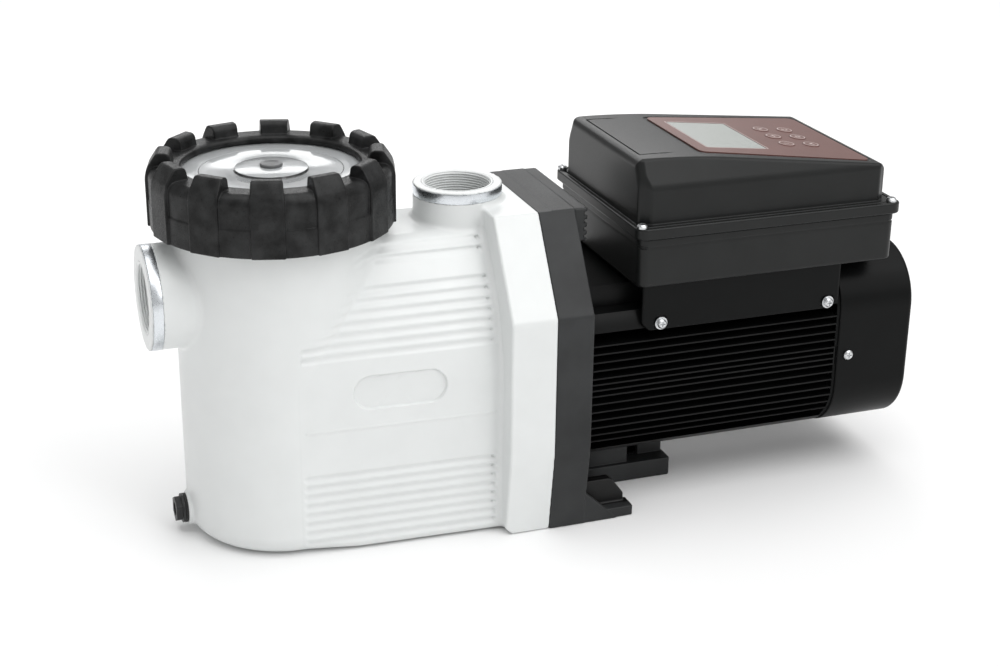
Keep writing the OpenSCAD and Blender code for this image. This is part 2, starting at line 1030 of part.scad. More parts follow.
// extruded motor housing with side fins, screw bands and the plinth for the control box
module motor_housing() {
  color([0.08, 0.09, 0.09])
    difference() {
      intersection() {
        union() {
          on_shaft(motor_x)
            cylinder(r = tube_r, h = motor_end - motor_x);
          for (s = [-1, 1], k = [0 : 7])
            if (s < 0 || k < 6)
              translate([motor_x, -motor_w, shaft_z + s * fin_z(k) - fin_t / 2])
                cube([motor_end - motor_x, 2 * motor_w, fin_t]);
          translate([motor_x, -motor_w, band_low])
            cube([motor_end - motor_x, 2 * motor_w, band_top - band_low]);
          translate([motor_x, -plinth_w, band_low])
            cube([motor_end - motor_x, 2 * plinth_w, plinth_top - band_low]);
          translate([motor_x, -motor_w + 10, motor_low])
            cube([motor_end - motor_x, 2 * motor_w - 20, sill_h]);
        }
        along_x(motor_x, motor_end)
          motor_outline(motor_w, motor_low, outline_top + 2, corner_r);
      }
      on_shaft(motor_x - 1)
        cylinder(r = stator_r, h = motor_end - motor_x + 2);
      for (s = [-1, 1], x = [screw_x0, screw_x1])
        translate([x, s * (motor_w + 1), adaptor_screw_z + 2])
          rotate([90 * s, 0, 0])
            cylinder(r = 2.5 + fit, h = 16);
      for (x = [motor_x + 20 : 34 : motor_end - 20])
        translate([x, -plinth_w + 14, band_top + 8])
          cube([26, 2 * plinth_w - 28, 20]);
    }
}

// laminated stator core
module stator_core() {
  color([0.45, 0.46, 0.48])
    on_shaft(core_x)
      difference() {
        tube(stator_r - touch, core_r + 0.5, core_len);
        for (i = [0 : 23])
          rotate([0, 0, i * 15])
            translate([core_r + 2, -1.8, -1])
              cube([13, 3.6, core_len + 2]);
      }
}

// winding overhangs at both ends of the stator
module stator_windings() {
  color([0.62, 0.3, 0.14])
    for (x = [core_x - 22, core_x + core_len])
      on_shaft(x)
        difference() {
          tube(stator_r - 5, core_r + 3.4, 22);
          for (i = [0 : 23])
            rotate([0, 0, i * 15 + 7.5])
              translate([stator_r - 6.5, -1, -1])
                cube([4, 2, 24]);
        }
}

// laminated rotor core with cast end rings
module rotor_core() {
  color([0.5, 0.51, 0.53])
    on_shaft(core_x) {
      tube(core_r, 15 + touch, core_len);
      translate([0, 0, -10])
        tube(core_r - 3, 20, 10);
      translate([0, 0, core_len])
        tube(core_r - 3, 20, 10);
    }
}

// stepped motor shaft, running right through to the impeller
module shaft() {
  color([0.75, 0.76, 0.78])
    on_shaft() {
      translate([0, 0, impeller_x - 6])
        cylinder(r = 6, h = 8);
      translate([0, 0, impeller_x])
        cylinder(r = shaft_r - 1, h = impeller_w + 4);
      translate([0, 0, impeller_x + impeller_w + 4])
        cylinder(r = shaft_r, h = 330);
      translate([0, 0, front_bearing_x + bearing_w + 2])
        cylinder(r = 12, h = rear_bearing_x - front_bearing_x - bearing_w - 4);
      translate([0, 0, core_x - 6])
        cylinder(r = 15, h = core_len + 12);
      translate([0, 0, rear_bearing_x])
        cylinder(r = shaft_r, h = bearing_w + 6);
      translate([0, 0, rear_bearing_x + bearing_w])
        cylinder(r = shaft_r - 1, h = 52);
    }
}

module bearing_outer(x) {
  on_shaft(x)
    difference() {
      tube(bearing_ro, 19.5, bearing_w);
      translate([0, 0, bearing_w / 2])
        o_ring(16.75, 4.1);
    }
}

module bearing_inner(x) {
  on_shaft(x)
    difference() {
      tube(14, shaft_r + touch, bearing_w);
      translate([0, 0, bearing_w / 2])
        o_ring(16.75, 3.97);
    }
}

module bearing_balls(x) {
  on_shaft(x + bearing_w / 2)
    for (i = [0 : 7])
      rotate([0, 0, i * 45])
        translate([16.75, 0, 0])
          sphere(r = 3.95, $fn = 48);
}

// outer ring of the front bearing
module front_bearing_outer() {
  color([0.78, 0.79, 0.81])
    bearing_outer(front_bearing_x);
}

// inner ring of the front bearing
module front_bearing_inner() {
  color([0.78, 0.79, 0.81])
    bearing_inner(front_bearing_x);
}

// balls of the front bearing
module front_bearing_balls() {
  color([0.85, 0.86, 0.88])
    bearing_balls(front_bearing_x);
}

// outer ring of the rear bearing
module rear_bearing_outer() {
  color([0.78, 0.79, 0.81])
    bearing_outer(rear_bearing_x);
}

// inner ring of the rear bearing
module rear_bearing_inner() {
  color([0.78, 0.79, 0.81])
    bearing_inner(rear_bearing_x);
}

// balls of the rear bearing
module rear_bearing_balls() {
  color([0.85, 0.86, 0.88])
    bearing_balls(rear_bearing_x);
}

// preload washer behind the rear bearing
module wave_washer() {
  color([0.6, 0.61, 0.62])
    on_shaft(rear_bearing_x + bearing_w)
      tube(bearing_ro - 0.5, 18, 1.5);
}

// rear end shield, carries the rear bearing and the fan cover lugs
module rear_shield() {
  color([0.12, 0.13, 0.13])
    difference() {
      union() {
        on_shaft(motor_end - 9)
          cylinder(r = stator_r - fit, h = 9 + 2 * touch);
        on_shaft(rear_bearing_x - 2)
          cylinder(r = 30, h = motor_end - rear_bearing_x + 2);
        translate([motor_end + touch, -cover_w + cover_t, shaft_z - 9])
          cube([4, 2 * (cover_w - cover_t), 18]);
        for (s = [-1, 1])
          translate([motor_end + touch, s * (cover_w - cover_t - 5) - 5, shaft_z - 9])
            cube([22, 10, 18]);
      }
      on_shaft(rear_bearing_x - 3)
        cylinder(r = bearing_ro + touch, h = bearing_w + 4.5);
      on_shaft(rear_bearing_x)
        cylinder(r = 13, h = 60);
      for (s = [-1, 1])
        translate([cover_screw_x, s * cover_w, shaft_z])
          rotate([90 * s, 0, 0])
            cylinder(r = 2 + fit, h = 15);
    }
}

// cooling fan on the rear end of the shaft
module fan() {
  color([0.1, 0.11, 0.11])
    on_shaft(fan_x)
      difference() {
        union() {
          cylinder(r = 18, h = 24);
          cylinder(r = fan_r, h = 2.5);
          for (i = [0 : 8])
            rotate([0, 0, i * 40])
              translate([15, -1.2, 0])
                cube([fan_r - 16, 2.4, 24]);
        }
        translate([0, 0, -1])
          cylinder(r = shaft_r - 1 + touch, h = 24);
      }
}

// fan cover with a slotted rear face
module fan_cover() {
  color([0.17, 0.18, 0.18])
    difference() {
      rounded_shell(cover_x, cover_end, cover_w, motor_low, outline_top, corner_r, cover_edge);
      rounded_shell(cover_x - 1, cover_end - cover_t, cover_w - cover_t, motor_low + cover_t,
        outline_top - cover_t, corner_r - cover_t, cover_edge - cover_t);
      intersection() {
        on_shaft(cover_end - 6)
          tube(58, 16, 12);
        union() {
          for (i = [-6 : 6])
            translate([cover_end - 6, 2, shaft_z + i * 9.6 - 2.6])
              cube([12, 66, 5.2]);
          for (i = [-6 : 6])
            translate([cover_end - 6, -68, shaft_z + i * 9.6 - 2.6])
              cube([12, 66, 5.2]);
        }
      }
      for (s = [-1, 1])
        translate([cover_screw_x, s * (cover_w + 1), shaft_z])
          rotate([90 * s, 0, 0])
            cylinder(r = 2.2, h = 5);
    }
}

// two screws that hold the fan cover
module fan_cover_screws() {
  color([0.78, 0.79, 0.8])
    for (s = [-1, 1])
      translate([cover_screw_x, s * cover_w, shaft_z])
        rotate([-90 * s, 0, 0])
          screw(4.8, 3, 2, 9);
}

// ---------- control box ----------

// saddle between motor and control box, with a skirt down each side
module adaptor_frame() {
  color([0.2, 0.21, 0.21])
    difference() {
      translate([adaptor_x, -adaptor_w, adaptor_low])
        cube([adaptor_end - adaptor_x, 2 * adaptor_w, box_low - adaptor_low]);
      translate([adaptor_x - 1, -motor_w, adaptor_low - 1])
        cube([adaptor_end - adaptor_x + 2, 2 * motor_w, plinth_top - adaptor_low + 1]);
      for (s = [-1, 1], x = [screw_x0, screw_x1])
        translate([x, s * (adaptor_w + 1), adaptor_screw_z + 2])
          rotate([90 * s, 0, 0])
            cylinder(r = 2.7, h = 5);
      translate([adaptor_x + 60, -40, plinth_top - 1])
        cube([80, 80, 20]);
    }
}

// four washer-head screws of the saddle
module adaptor_screws() {
  color([0.8, 0.81, 0.82])
    for (s = [-1, 1], x = [screw_x0, screw_x1])
      translate([x, s * adaptor_w, adaptor_screw_z + 2])
        rotate([-90 * s, 0, 0]) {
          translate([0, 0, 1])
            screw(4.4, 3.4, 2.5, 13);
          tube(5.8, 2.5 - eps, 1);
        }
}

// open-topped lower half of the control box
module box_base() {
  color([0.2, 0.21, 0.21])
    difference() {
      union() {
        rounded_box(box_x, box_end, box_w, box_low, box_rim, 8);
        for (x = [lid_screw_x0 + 6, lid_screw_x1 - 6], s = [-1, 1])
          translate([x, s * (lid_screw_y - 7), box_low + 1])
            cylinder(r = 6, h = box_rim - box_low - 1);
      }
      rounded_box(box_x + box_wall, box_end - box_wall, box_w - box_wall, box_low + box_wall, box_rim + 1, 5);
      translate([gland_x, box_w - 10, gland_z])
        rotate([-90, 0, 0])
          cylinder(r = 10 + fit, h = 20);
    }
}

// box with rounded upright edges
module rounded_box(x0, x1, w, z0, z1, r) {
  translate([0, 0, z0])
    linear_extrude(height = z1 - z0)
      union() {
        translate([x0 + r, -w])
          square([x1 - x0 - 2 * r, 2 * w]);
        translate([x0, -w + r])
          square([x1 - x0, 2 * w - 2 * r]);
        for (x = [x0 + r, x1 - r], y = [-w + r, w - r])
          translate([x, y])
            circle(r = r);
      }
}

// gasket between box base and lid
module box_gasket() {
  color([0.05, 0.05, 0.05])
    difference() {
      rounded_box(box_x + 1, box_end - 1, box_w - 1, box_rim, box_rim + 1.2, 7);
      rounded_box(box_x + box_wall, box_end - box_wall, box_w - box_wall, box_rim - 1, box_rim + 2, 5);
    }
}

// hood of the lid, shrunk by t
module hood(t) {
  difference() {
    along_x(lid_x + t, lid_end - t)
      polygon([
        [-lid_w0 + t, rim_top - 6],
        [-lid_w0 + t, rim_top],
        [-lid_w1 + t, lid_facet],
        [-lid_w2 + t, box_top - t],
        [lid_w2 - t, box_top - t],
        [lid_w1 - t, lid_facet],
        [lid_w0 - t, rim_top],
        [lid_w0 - t, rim_top - 6]
      ]);
    translate([crease_x, 0, box_top - t])
      rotate([0, slope_a, 0])
        translate([-eps, -150, 0])
          cube([260, 300, 60]);
    for (s = [-1, 1], x = [lid_screw_x0, lid_screw_x1])
      translate([x, s * lid_screw_y, rim_top - 8])
        cylinder(r = 9 + t, h = lid_facet - rim_top + 2 + t);
  }
}

// sloping frame of the display panel: origin on the lid top at the middle of the panel
module on_panel() {
  translate([crease_x, 0, box_top])
    rotate([0, slope_a, 0])
      translate([(panel_at - crease_x) / cos(slope_a), 0, 0])
        children();
}

// outline of the display panel, grown by g
module panel_outline(g) {
  polygon([
    [-panel_len / 2 - g, -panel_w0 - g],
    [panel_len / 2 + g, -panel_w1 - g],
    [panel_len / 2 + g, panel_w1 + g],
    [-panel_len / 2 - g, panel_w0 + g]
  ]);
}

// places its children at the given push button
module at_button(i) {
  on_panel()
    translate([button_at + floor(i / 3) * button_pitch - 12, (i % 3 - 1) * button_pitch, 0])
      children();
}

// lid of the control box with its flange and sloping display face
module box_lid() {
  color([0.2, 0.21, 0.21])
    difference() {
      union() {
        rounded_box(rim_x, rim_end, rim_w, box_rim + 1.2, rim_top, 9);
        hood(0);
      }
      hood(box_wall);
      rounded_box(lid_x + 12, lid_end - 12, lid_w0 - 12, box_rim - 1, rim_top + 1, 5);
      for (s = [-1, 1], x = [lid_screw_x0, lid_screw_x1])
        translate([x, s * lid_screw_y, box_rim - 1])
          cylinder(r = 2.2, h = 20);
      on_panel()
        translate([0, 0, -panel_t])
          linear_extrude(height = 5)
            panel_outline(0.2);
      on_panel()
        translate([window_at - window_len / 2 + 4, -window_w / 2 + 4, -8])
          cube([window_len - 8, window_w - 8, 20]);
      for (i = [0 : 5])
        at_button(i)
          translate([0, 0, -10])
            cylinder(r = button_r + gap, h = 20);
    }
}

// four screws that hold the box lid
module box_lid_screws() {
  color([0.8, 0.81, 0.82])
    for (s = [-1, 1], x = [lid_screw_x0, lid_screw_x1])
      translate([x, s * lid_screw_y, rim_top])
        screw(4.6, 3.6, 2, 10);
}

// coloured display panel
module display_panel() {
  color([0.55, 0.22, 0.17])
    difference() {
      on_panel()
        translate([0, 0, -panel_t])
          linear_extrude(height = panel_t + 0.3)
            panel_outline(0);
      on_panel()
        translate([window_at - window_len / 2, -window_w / 2, -4])
          cube([window_len, window_w, 8]);
      for (i = [0 : 5])
        at_button(i)
          translate([0, 0, -4])
            cylinder(r = button_r + gap, h = 8);
    }
}

// display window
module display_window() {
  color([0.72, 0.76, 0.74])
    on_panel()
      translate([window_at - window_len / 2 + touch, -window_w / 2 + touch, -panel_t])
        cube([window_len - 2 * touch, window_w - 2 * touch, panel_t + 0.1]);
}

module push_button(i) {
  color([0.62, 0.3, 0.25])
    at_button(i) {
      translate([0, 0, -4])
        cylinder(r = button_r, h = 4.6);
      translate([0, 0, 0.6 - eps])
        cylinder(r1 = button_r, r2 = button_r - 0.6, h = 0.4);
    }
}

// push button, first row at the near side
module button_1() { push_button(0); }
// push button, second in the first column
module button_2() { push_button(1); }
// push button, third in the first column
module button_3() { push_button(2); }
// push button, first in the second column
module button_4() { push_button(3); }
// push button, second in the second column
module button_5() { push_button(4); }
// push button, third in the second column
module button_6() { push_button(5); }

// display and key circuit board under the panel
module control_board() {
  color([0.1, 0.35, 0.18])
    on_panel()
      translate([0, 0, -8]) {
        translate([-panel_len / 2 + 10, -60, 0])
          cube([panel_len - 30, 120, 1.6]);
        translate([window_at - 26, -40, 1.6 - eps])
          cube([52, 80, 5.4]);
        for (x = [-panel_len / 2 + 13, panel_len / 2 - 23], y = [-56, 56])
          translate([x, y, 1.6 - eps])
            cylinder(r = 3, h = 8 - 1.6 - box_wall);
      }
}

// power circuit board in the base, on four pillars
module power_board() {
  color([0.12, 0.3, 0.2]) {
    translate([box_x + 22, -72, box_low + 12])
      cube([190, 144, 2]);
    for (x = [box_x + 28, box_x + 206], y = [-66, 66])
      translate([x, y, box_low + box_wall])
        cylinder(r = 4, h = 12 - box_wall + eps);
    for (i = [0 : 8])
      translate([box_x + 130 + i * 8, -62, box_low + 14 - eps])
        cube([3, 50, 22]);
    translate([box_x + 126, -62, box_low + 14 - eps])
      cube([72, 50, 4]);
  }
}

// smoothing capacitors on the power board
module capacitors() {
  color([0.12, 0.14, 0.3])
    for (x = [0 : 2], y = [0 : 1])
      translate([box_x + 50 + x * 27, 8 + y * 27, box_low + 14])
        cylinder(r = 11, h = 32);
}

// cable gland screwed into the far wall of the box base
module gland_body() {
  color([0.1, 0.1, 0.11])
    translate([gland_x, box_w, gland_z])
      rotate([-90, 0, 0])
        difference() {
          union() {
            cylinder(r = 13.5, h = 5, $fn = 6);
            translate([0, 0, -9])
              cylinder(r = 10, h = 10);
            translate([0, 0, 5 - eps])
              cylinder(r = 9, h = 10);
          }
          translate([0, 0, -10])
            cylinder(r = 6.5, h = 14);
          translate([0, 0, 3])
            cylinder(r = 7.5, h = 14);
        }
}

// compression nut of the gland
module gland_nut() {
  color([0.1, 0.1, 0.11])
    translate([gland_x, box_w + 6, gland_z])
      rotate([-90, 0, 0])
        difference() {
          union() {
            cylinder(r = 13, h = 11, $fn = 6);
            translate([0, 0, 11 - eps])
              cylinder(r1 = 11, r2 = 8.5, h = 4);
          }
          translate([0, 0, -1])
            cylinder(r = 9 + fit, h = 11);
          translate([0, 0, 5])
            cylinder(r = 5.5, h = 20);
        }
}

// rubber grommet inside the gland
module gland_seal() {
  color([0.05, 0.05, 0.05])
    translate([gland_x, box_w + 3, gland_z])
      rotate([-90, 0, 0])
        tube(7.5 - touch, 5, 13);
}

pump_housing();
suction_band();
discharge_band();
lid();
lid_boss();
lid_ring();
lid_seal();
strainer_basket();
basket_handle();
drain_plug();
drain_seal();
diffuser();
impeller();
impeller_nut();
seal_head();
seal_spring();
seal_seat();
casing_seal();
bracket();
casing_bolts();
shield_bolts();
motor_support();
front_shield();
motor_housing();
stator_core();
stator_windings();
rotor_core();
shaft();
front_bearing_outer();
front_bearing_inner();
front_bearing_balls();
rear_bearing_outer();
rear_bearing_inner();
rear_bearing_balls();
wave_washer();
rear_shield();
fan();
fan_cover();
fan_cover_screws();
adaptor_frame();
adaptor_screws();
box_base();
box_gasket();
box_lid();
box_lid_screws();
display_panel();
display_window();
button_1();
button_2();
button_3();
button_4();
button_5();
button_6();
control_board();
power_board();
capacitors();
gland_body();
gland_nut();
gland_seal();
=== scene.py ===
"""Looks of the pool pump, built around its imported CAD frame."""

import functools
import math
from concurrent.futures import ThreadPoolExecutor

import bmesh
import bpy
import numpy as np
from mathutils import Matrix, Vector
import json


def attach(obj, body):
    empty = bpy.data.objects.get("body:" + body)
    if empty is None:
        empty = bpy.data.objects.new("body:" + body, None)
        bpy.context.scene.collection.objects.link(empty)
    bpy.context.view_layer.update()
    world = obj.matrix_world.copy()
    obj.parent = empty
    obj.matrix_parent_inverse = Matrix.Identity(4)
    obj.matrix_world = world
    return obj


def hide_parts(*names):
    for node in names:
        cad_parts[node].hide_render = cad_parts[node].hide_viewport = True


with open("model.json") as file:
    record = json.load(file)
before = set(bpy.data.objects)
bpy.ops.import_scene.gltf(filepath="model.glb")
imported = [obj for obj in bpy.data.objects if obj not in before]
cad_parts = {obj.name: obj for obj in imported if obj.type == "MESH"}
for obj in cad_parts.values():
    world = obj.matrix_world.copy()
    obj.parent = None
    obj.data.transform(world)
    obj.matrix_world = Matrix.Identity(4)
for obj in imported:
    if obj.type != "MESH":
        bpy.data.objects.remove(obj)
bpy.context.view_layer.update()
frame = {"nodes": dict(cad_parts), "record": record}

MM = 0.001
scene = bpy.context.scene

# ---------- sizes shared with the CAD, in millimetres ----------

BARREL_R, BARREL_EDGE, BARREL_TOP, WALL = 86.0, 20.0, 290.0, 6.0
NECK_R, NECK_LOW, NECK_TOP = 92.0, 284.0, 318.0
PANEL_X, PANEL_W, CROWN_Z, CROWN_W, SHOULDER_Z = 175.0, 93.3, 267.0, 43.0, 189.3
FLANGE_X, JOINT_X, PLATE_X, BRACKET_X = 175.0, 216.4, 232.0, 250.0
FLANGE_TOP, FLANGE_W, FLANGE_CROWN = 283.9, 115.3, 63.8
FLANGE_SHOULDER, FLANGE_WAIST, FLANGE_FOOT = 204.2, 78.6, 104.0
SHAFT_Z, EYE_R, EYE_WALL_R, VOLUTE_R, VOLUTE_X = 122.0, 31.0, 37.0, 92.0, 198.4
EYE_X, EYE_END, SEAL_R, SEAL_T = 60.0, 130.0, 86.0, 2.7
DRAIN_X, DRAIN_Z, DRAIN_BOSS_R, DRAIN_BORE_R = -88.0, 21.0, 15.0, 10.3
LEDGE_LOW, LEDGE_TOP, LEDGE_W = 177.0, 182.0, 5.0
SUCTION_X, SUCTION_Z, SUCTION_R = 114.0, 222.3, 45.3
DISCHARGE_X, DISCHARGE_Z, DISCHARGE_R = 164.4, 299.0, 39.3
PORT_R, PORT_DEPTH, PORT_NECK, LINER_R = 28.33, 26.0, 26.93, 31.0
BAND_T, BAND_W, LIP_T = 2.0, 8.5, 1.5
RING_R, RING_LOW, RING_TOP, LUG_TOP, RING_EYE = 103.9, 280.2, 332.0, 342.6, 75.0
LID_LOW, LID_TOP, LID_R = 318.3, 325.3, 90.0
MOTOR_X, MOTOR_END, MOTOR_W, MOTOR_LOW, CORNER_R = 256.0, 505.0, 86.0, 40.0, 52.0
COVER_X, COVER_END, COVER_W, COVER_TOP, COVER_WALL = 508.0, 585.0, 87.0, 214.0, 2.0
BOX_X, BOX_END, BOX_W, BOX_LOW, BOX_RIM = 299.5, 552.0, 94.0, 215.0, 259.0
RIM_X, RIM_END, RIM_W, RIM_TOP = 295.5, 555.0, 99.0, 270.5
LID_X, LID_END, CREASE_X, BOX_TOP, BOX_SLOPE = 301.5, 544.0, 347.0, 326.0, 0.113
DISPLAY_AT, DISPLAY_U, DISPLAY_V, DISPLAY_ROUND, DISPLAY_SKEW = 451.0, 84.0, 69.0, 7.0, 7.0
WINDOW_U, KEY_U, KEY_PITCH, KEY_R = -38.0, 22.0, 25.6, 8.0
PLAN_A = math.atan2(PANEL_W, PANEL_X) + math.acos(BARREL_R / math.hypot(PANEL_W, PANEL_X))
TANGENT_X = BARREL_R * math.cos(PLAN_A)
PANEL_A = PLAN_A - math.pi / 2
SHOULDER_A = math.atan2(PANEL_W - CROWN_W, CROWN_Z - SHOULDER_Z)


# ---------- distance fields, in millimetres ----------


def meet(a, b, r=0.0):
    """Common part of two fields, its edge rounded to radius r."""
    if np.isscalar(r) and r <= 0:
        return np.maximum(a, b)
    return np.minimum(np.maximum(a, b), -r) + np.hypot(np.maximum(a + r, 0), np.maximum(b + r, 0))


def join(a, b, r=0.0):
    """Union of two fields with a fillet of radius r."""
    return -meet(-a, -b, r)


def cut(a, b, r=0.0):
    """Field a less field b."""
    return meet(a, -b, r)


def union(*fields):
    """Union of several fields, its inner corners left sharp."""
    return functools.reduce(np.minimum, fields)


def slab(w, lo, hi):
    """Distance outside the span from lo to hi."""
    return np.abs(w - (lo + hi) / 2) - (hi - lo) / 2


def rect(u, v, hu, hv, r):
    """Rounded rectangle about the origin with half sizes hu and hv."""
    qu, qv = np.abs(u) - hu + r, np.abs(v) - hv + r
    return np.hypot(np.maximum(qu, 0), np.maximum(qv, 0)) + np.minimum(np.maximum(qu, qv), 0) - r


def octagon(side, z, inset=0.0, r=0.0):
    """Outline shared by the flange and the bracket."""
    d = z - FLANGE_TOP
    for a, b in (
        ((FLANGE_CROWN, FLANGE_TOP), (FLANGE_W, FLANGE_SHOULDER)),
        ((FLANGE_W, FLANGE_SHOULDER), (FLANGE_W, FLANGE_WAIST)),
        ((FLANGE_W, FLANGE_WAIST), (FLANGE_FOOT, 0.0)),
        ((FLANGE_FOOT, 0.0), (-FLANGE_FOOT, 0.0)),
    ):
        n = math.hypot(b[0] - a[0], b[1] - a[1])
        line = ((side - a[0]) * (a[1] - b[1]) + (z - a[1]) * (b[0] - a[0])) / n
        d = meet(d + inset, line + inset, r) - inset
    return d + inset


# ---------- from field to mesh ----------

CORNERS = np.array([[i, j, k] for i in (0, 1) for j in (0, 1) for k in (0, 1)])
BLOCK, CHUNK = 8, 16384
workers = ThreadPoolExecutor(4)


def evaluate(field, points):
    """Field at many points, worked through in small parts that stay in the cache."""
    parts = [points[i : i + CHUNK] for i in range(0, len(points), CHUNK)]
    return np.concatenate(list(workers.map(field, parts))) if parts else np.zeros(0)


def gradient(field, p, h):
    """Unit outward direction of a field at each point."""
    g = np.empty_like(p)
    for k in range(3):
        step = np.zeros(3)
        step[k] = h
        g[:, k] = evaluate(field, p + step) - evaluate(field, p - step)
    return g / np.maximum(np.linalg.norm(g, axis=1), 1e-12)[:, None]


def samples(field, lo, count, step):
    """Values of a field on a grid, found finely only in the blocks that its surface may cross."""
    blocks = -(-count // BLOCK)
    centres = np.stack(np.meshgrid(*[np.arange(n) for n in blocks], indexing="ij"), -1).reshape(-1, 3)
    middle = evaluate(field, lo + (centres * BLOCK + (BLOCK - 1) / 2) * step)
    values = np.where(middle < 0, -1e3, 1e3).astype(np.float32)
    values = np.repeat(np.repeat(np.repeat(values.reshape(blocks), BLOCK, 0), BLOCK, 1), BLOCK, 2)
    view = values.reshape(blocks[0], BLOCK, blocks[1], BLOCK, blocks[2], BLOCK)
    near = centres[np.abs(middle) < 1.25 * BLOCK * step]
    inner = np.stack(np.meshgrid(*[np.arange(BLOCK)] * 3, indexing="ij"), -1).reshape(-1, 3)
    for part in np.array_split(near, max(1, len(near) // 1500)):
        points = lo + (part[:, None] * BLOCK + inner[None]).reshape(-1, 3) * step
        found = evaluate(field, points).reshape(-1, BLOCK, BLOCK, BLOCK)
        view[part[:, 0], :, part[:, 1], :, part[:, 2], :] = found
    return values


def surface_net(field, lo, hi, step):
    """Vertices and quads where a field is zero."""
    lo = np.array(lo, float) - 2.3 * step
    count = np.ceil((np.array(hi, float) + 2.3 * step - lo) / step).astype(int) + 1
    values = samples(field, lo, count, step)
    inside = values < 0
    some, every = np.zeros(np.array(inside.shape) - 1, bool), np.ones(np.array(inside.shape) - 1, bool)
    for i, j, k in CORNERS:
        part = inside[i : inside.shape[0] - 1 + i, j : inside.shape[1] - 1 + j, k : inside.shape[2] - 1 + k]
        some |= part
        every &= part
    cells = np.argwhere(some & ~every)
    index = np.full(some.shape, -1, np.int64)
    index[tuple(cells.T)] = np.arange(len(cells))
    at = [values[tuple((cells + c).T)].astype(float) for c in CORNERS]
    total, hits = np.zeros((len(cells), 3)), np.zeros(len(cells))
    for a in range(8):
        for b in range(a + 1, 8):
            if np.abs(CORNERS[a] - CORNERS[b]).sum() != 1:
                continue
            crossed = (at[a] < 0) != (at[b] < 0)
            t = at[a] / np.where(crossed, at[a] - at[b], 1)
            total += np.where(crossed[:, None], CORNERS[a] + t[:, None] * (CORNERS[b] - CORNERS[a]), 0)
            hits += crossed
    points = lo + (cells + total / hits[:, None]) * step
    quads = []
    for axis in range(3):
        a, b = (axis + 1) % 3, (axis + 2) % 3
        low, high = [slice(None)] * 3, [slice(None)] * 3
        low[axis], high[axis] = slice(0, -1), slice(1, None)
        edge = np.argwhere(inside[tuple(low)] != inside[tuple(high)])
        edge = edge[(edge[:, a] > 0) & (edge[:, b] > 0)]
        ea, eb = np.eye(3, dtype=int)[a], np.eye(3, dtype=int)[b]
        quad = np.stack([index[tuple((edge - s).T)] for s in (ea + eb, eb, 0 * ea, ea)], 1)
        outward = inside[tuple(edge.T)]
        quads.append(np.where(outward[:, None], quad, quad[:, ::-1]))
    return points, np.concatenate(quads)


def settle(field, points, step, rounds=3):
    """Points moved onto the surface along its slope."""
    for _ in range(rounds):
        move = np.clip(evaluate(field, points), -step / 2, step / 2)
        points = points - move[:, None] * gradient(field, points, step * 0.3)
    return points


def in_scene(name, data):
    """New object in the scene."""
    thing = bpy.data.objects.new(name, data)
    scene.collection.objects.link(thing)
    return thing


def shade(mesh, crease=None):
    """Smooth shading, with edges sharper than crease degrees kept sharp."""
    mesh.polygons.foreach_set("use_smooth", np.ones(len(mesh.polygons), bool))
    if crease:
        mesh.set_sharp_from_angle(angle=math.radians(crease))


def add_piece(name, mesh, slot, body, nodes=(), look=None):
    """New piece that rides on a body and stands for the nodes given."""
    piece = in_scene(name, mesh)
    mesh.materials.clear()
    mesh.materials.append(look or MATS[slot])
    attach(piece, body)
    if nodes:
        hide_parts(*nodes)


def mesh_of(name, points, faces):
    mesh = bpy.data.meshes.new(name)
    mesh.from_pydata(np.asarray(points, float).tolist(), [], [list(map(int, f)) for f in faces])
    shade(mesh)
    mesh.update()
    return mesh


def moulded(name, field, lo, hi, step, node, slot, faces, body="pump", look=None):
    """Piece made from a distance field: its net, thinned where it is plain, and shaded by the field."""
    points, quads = surface_net(field, lo, hi, step)
    points = settle(field, points, step)
    mesh = mesh_of(name + "_net", points * MM, quads)
    rough = in_scene(name + "_net", mesh)
    if 2 * len(quads) > faces:
        thin = rough.modifiers.new("thin", "DECIMATE")
        thin.ratio = faces / (2 * len(quads))
    final = bpy.data.meshes.new_from_object(rough.evaluated_get(bpy.context.evaluated_depsgraph_get()))
    bpy.data.objects.remove(rough)
    bpy.data.meshes.remove(mesh)
    flat = np.empty(len(final.vertices) * 3)
    final.vertices.foreach_get("co", flat)
    points = settle(field, flat.reshape(-1, 3) / MM, step, 2)
    final.vertices.foreach_set("co", (points * MM).ravel())
    shade(final)
    final.update()
    final.normals_split_custom_set_from_vertices(gradient(field, points, step * 0.35).tolist())
    final.name = name
    add_piece(name, final, slot, body, [node], look)


def revolved(name, profile, slot, body, nodes, steps, axis="Z", at=(0, 0, 0)):
    """Closed outline of (radius, height) in millimetres turned about an axis through a point."""
    n = len(profile)
    turn = {"Z": Matrix.Identity(3), "X": Matrix(((0, 0, 1), (1, 0, 0), (0, 1, 0)))}[axis]
    points = []
    for i in range(steps):
        a = 2 * math.pi * i / steps
        for r, h in profile:
            points.append((turn @ Vector((r * math.cos(a), r * math.sin(a), h)) + Vector(at)) * MM)
    faces = []
    for i in range(steps):
        for j in range(n):
            here, there = i * n, (i + 1) % steps * n
            faces.append((here + j, there + j, there + (j + 1) % n, here + (j + 1) % n))
    mesh = mesh_of(name, points, faces)
    clean(mesh, 35)
    add_piece(name, mesh, slot, body, nodes)


def clean(mesh, crease):
    """Doubles removed, faces turned outwards, and edges sharper than crease degrees kept sharp."""
    bm = bmesh.new()
    bm.from_mesh(mesh)
    bmesh.ops.remove_doubles(bm, verts=bm.verts, dist=1e-6)
    bmesh.ops.dissolve_degenerate(bm, edges=bm.edges, dist=1e-7)
    bmesh.ops.recalc_face_normals(bm, faces=bm.faces)
    bm.to_mesh(mesh)
    bm.free()
    shade(mesh, crease)


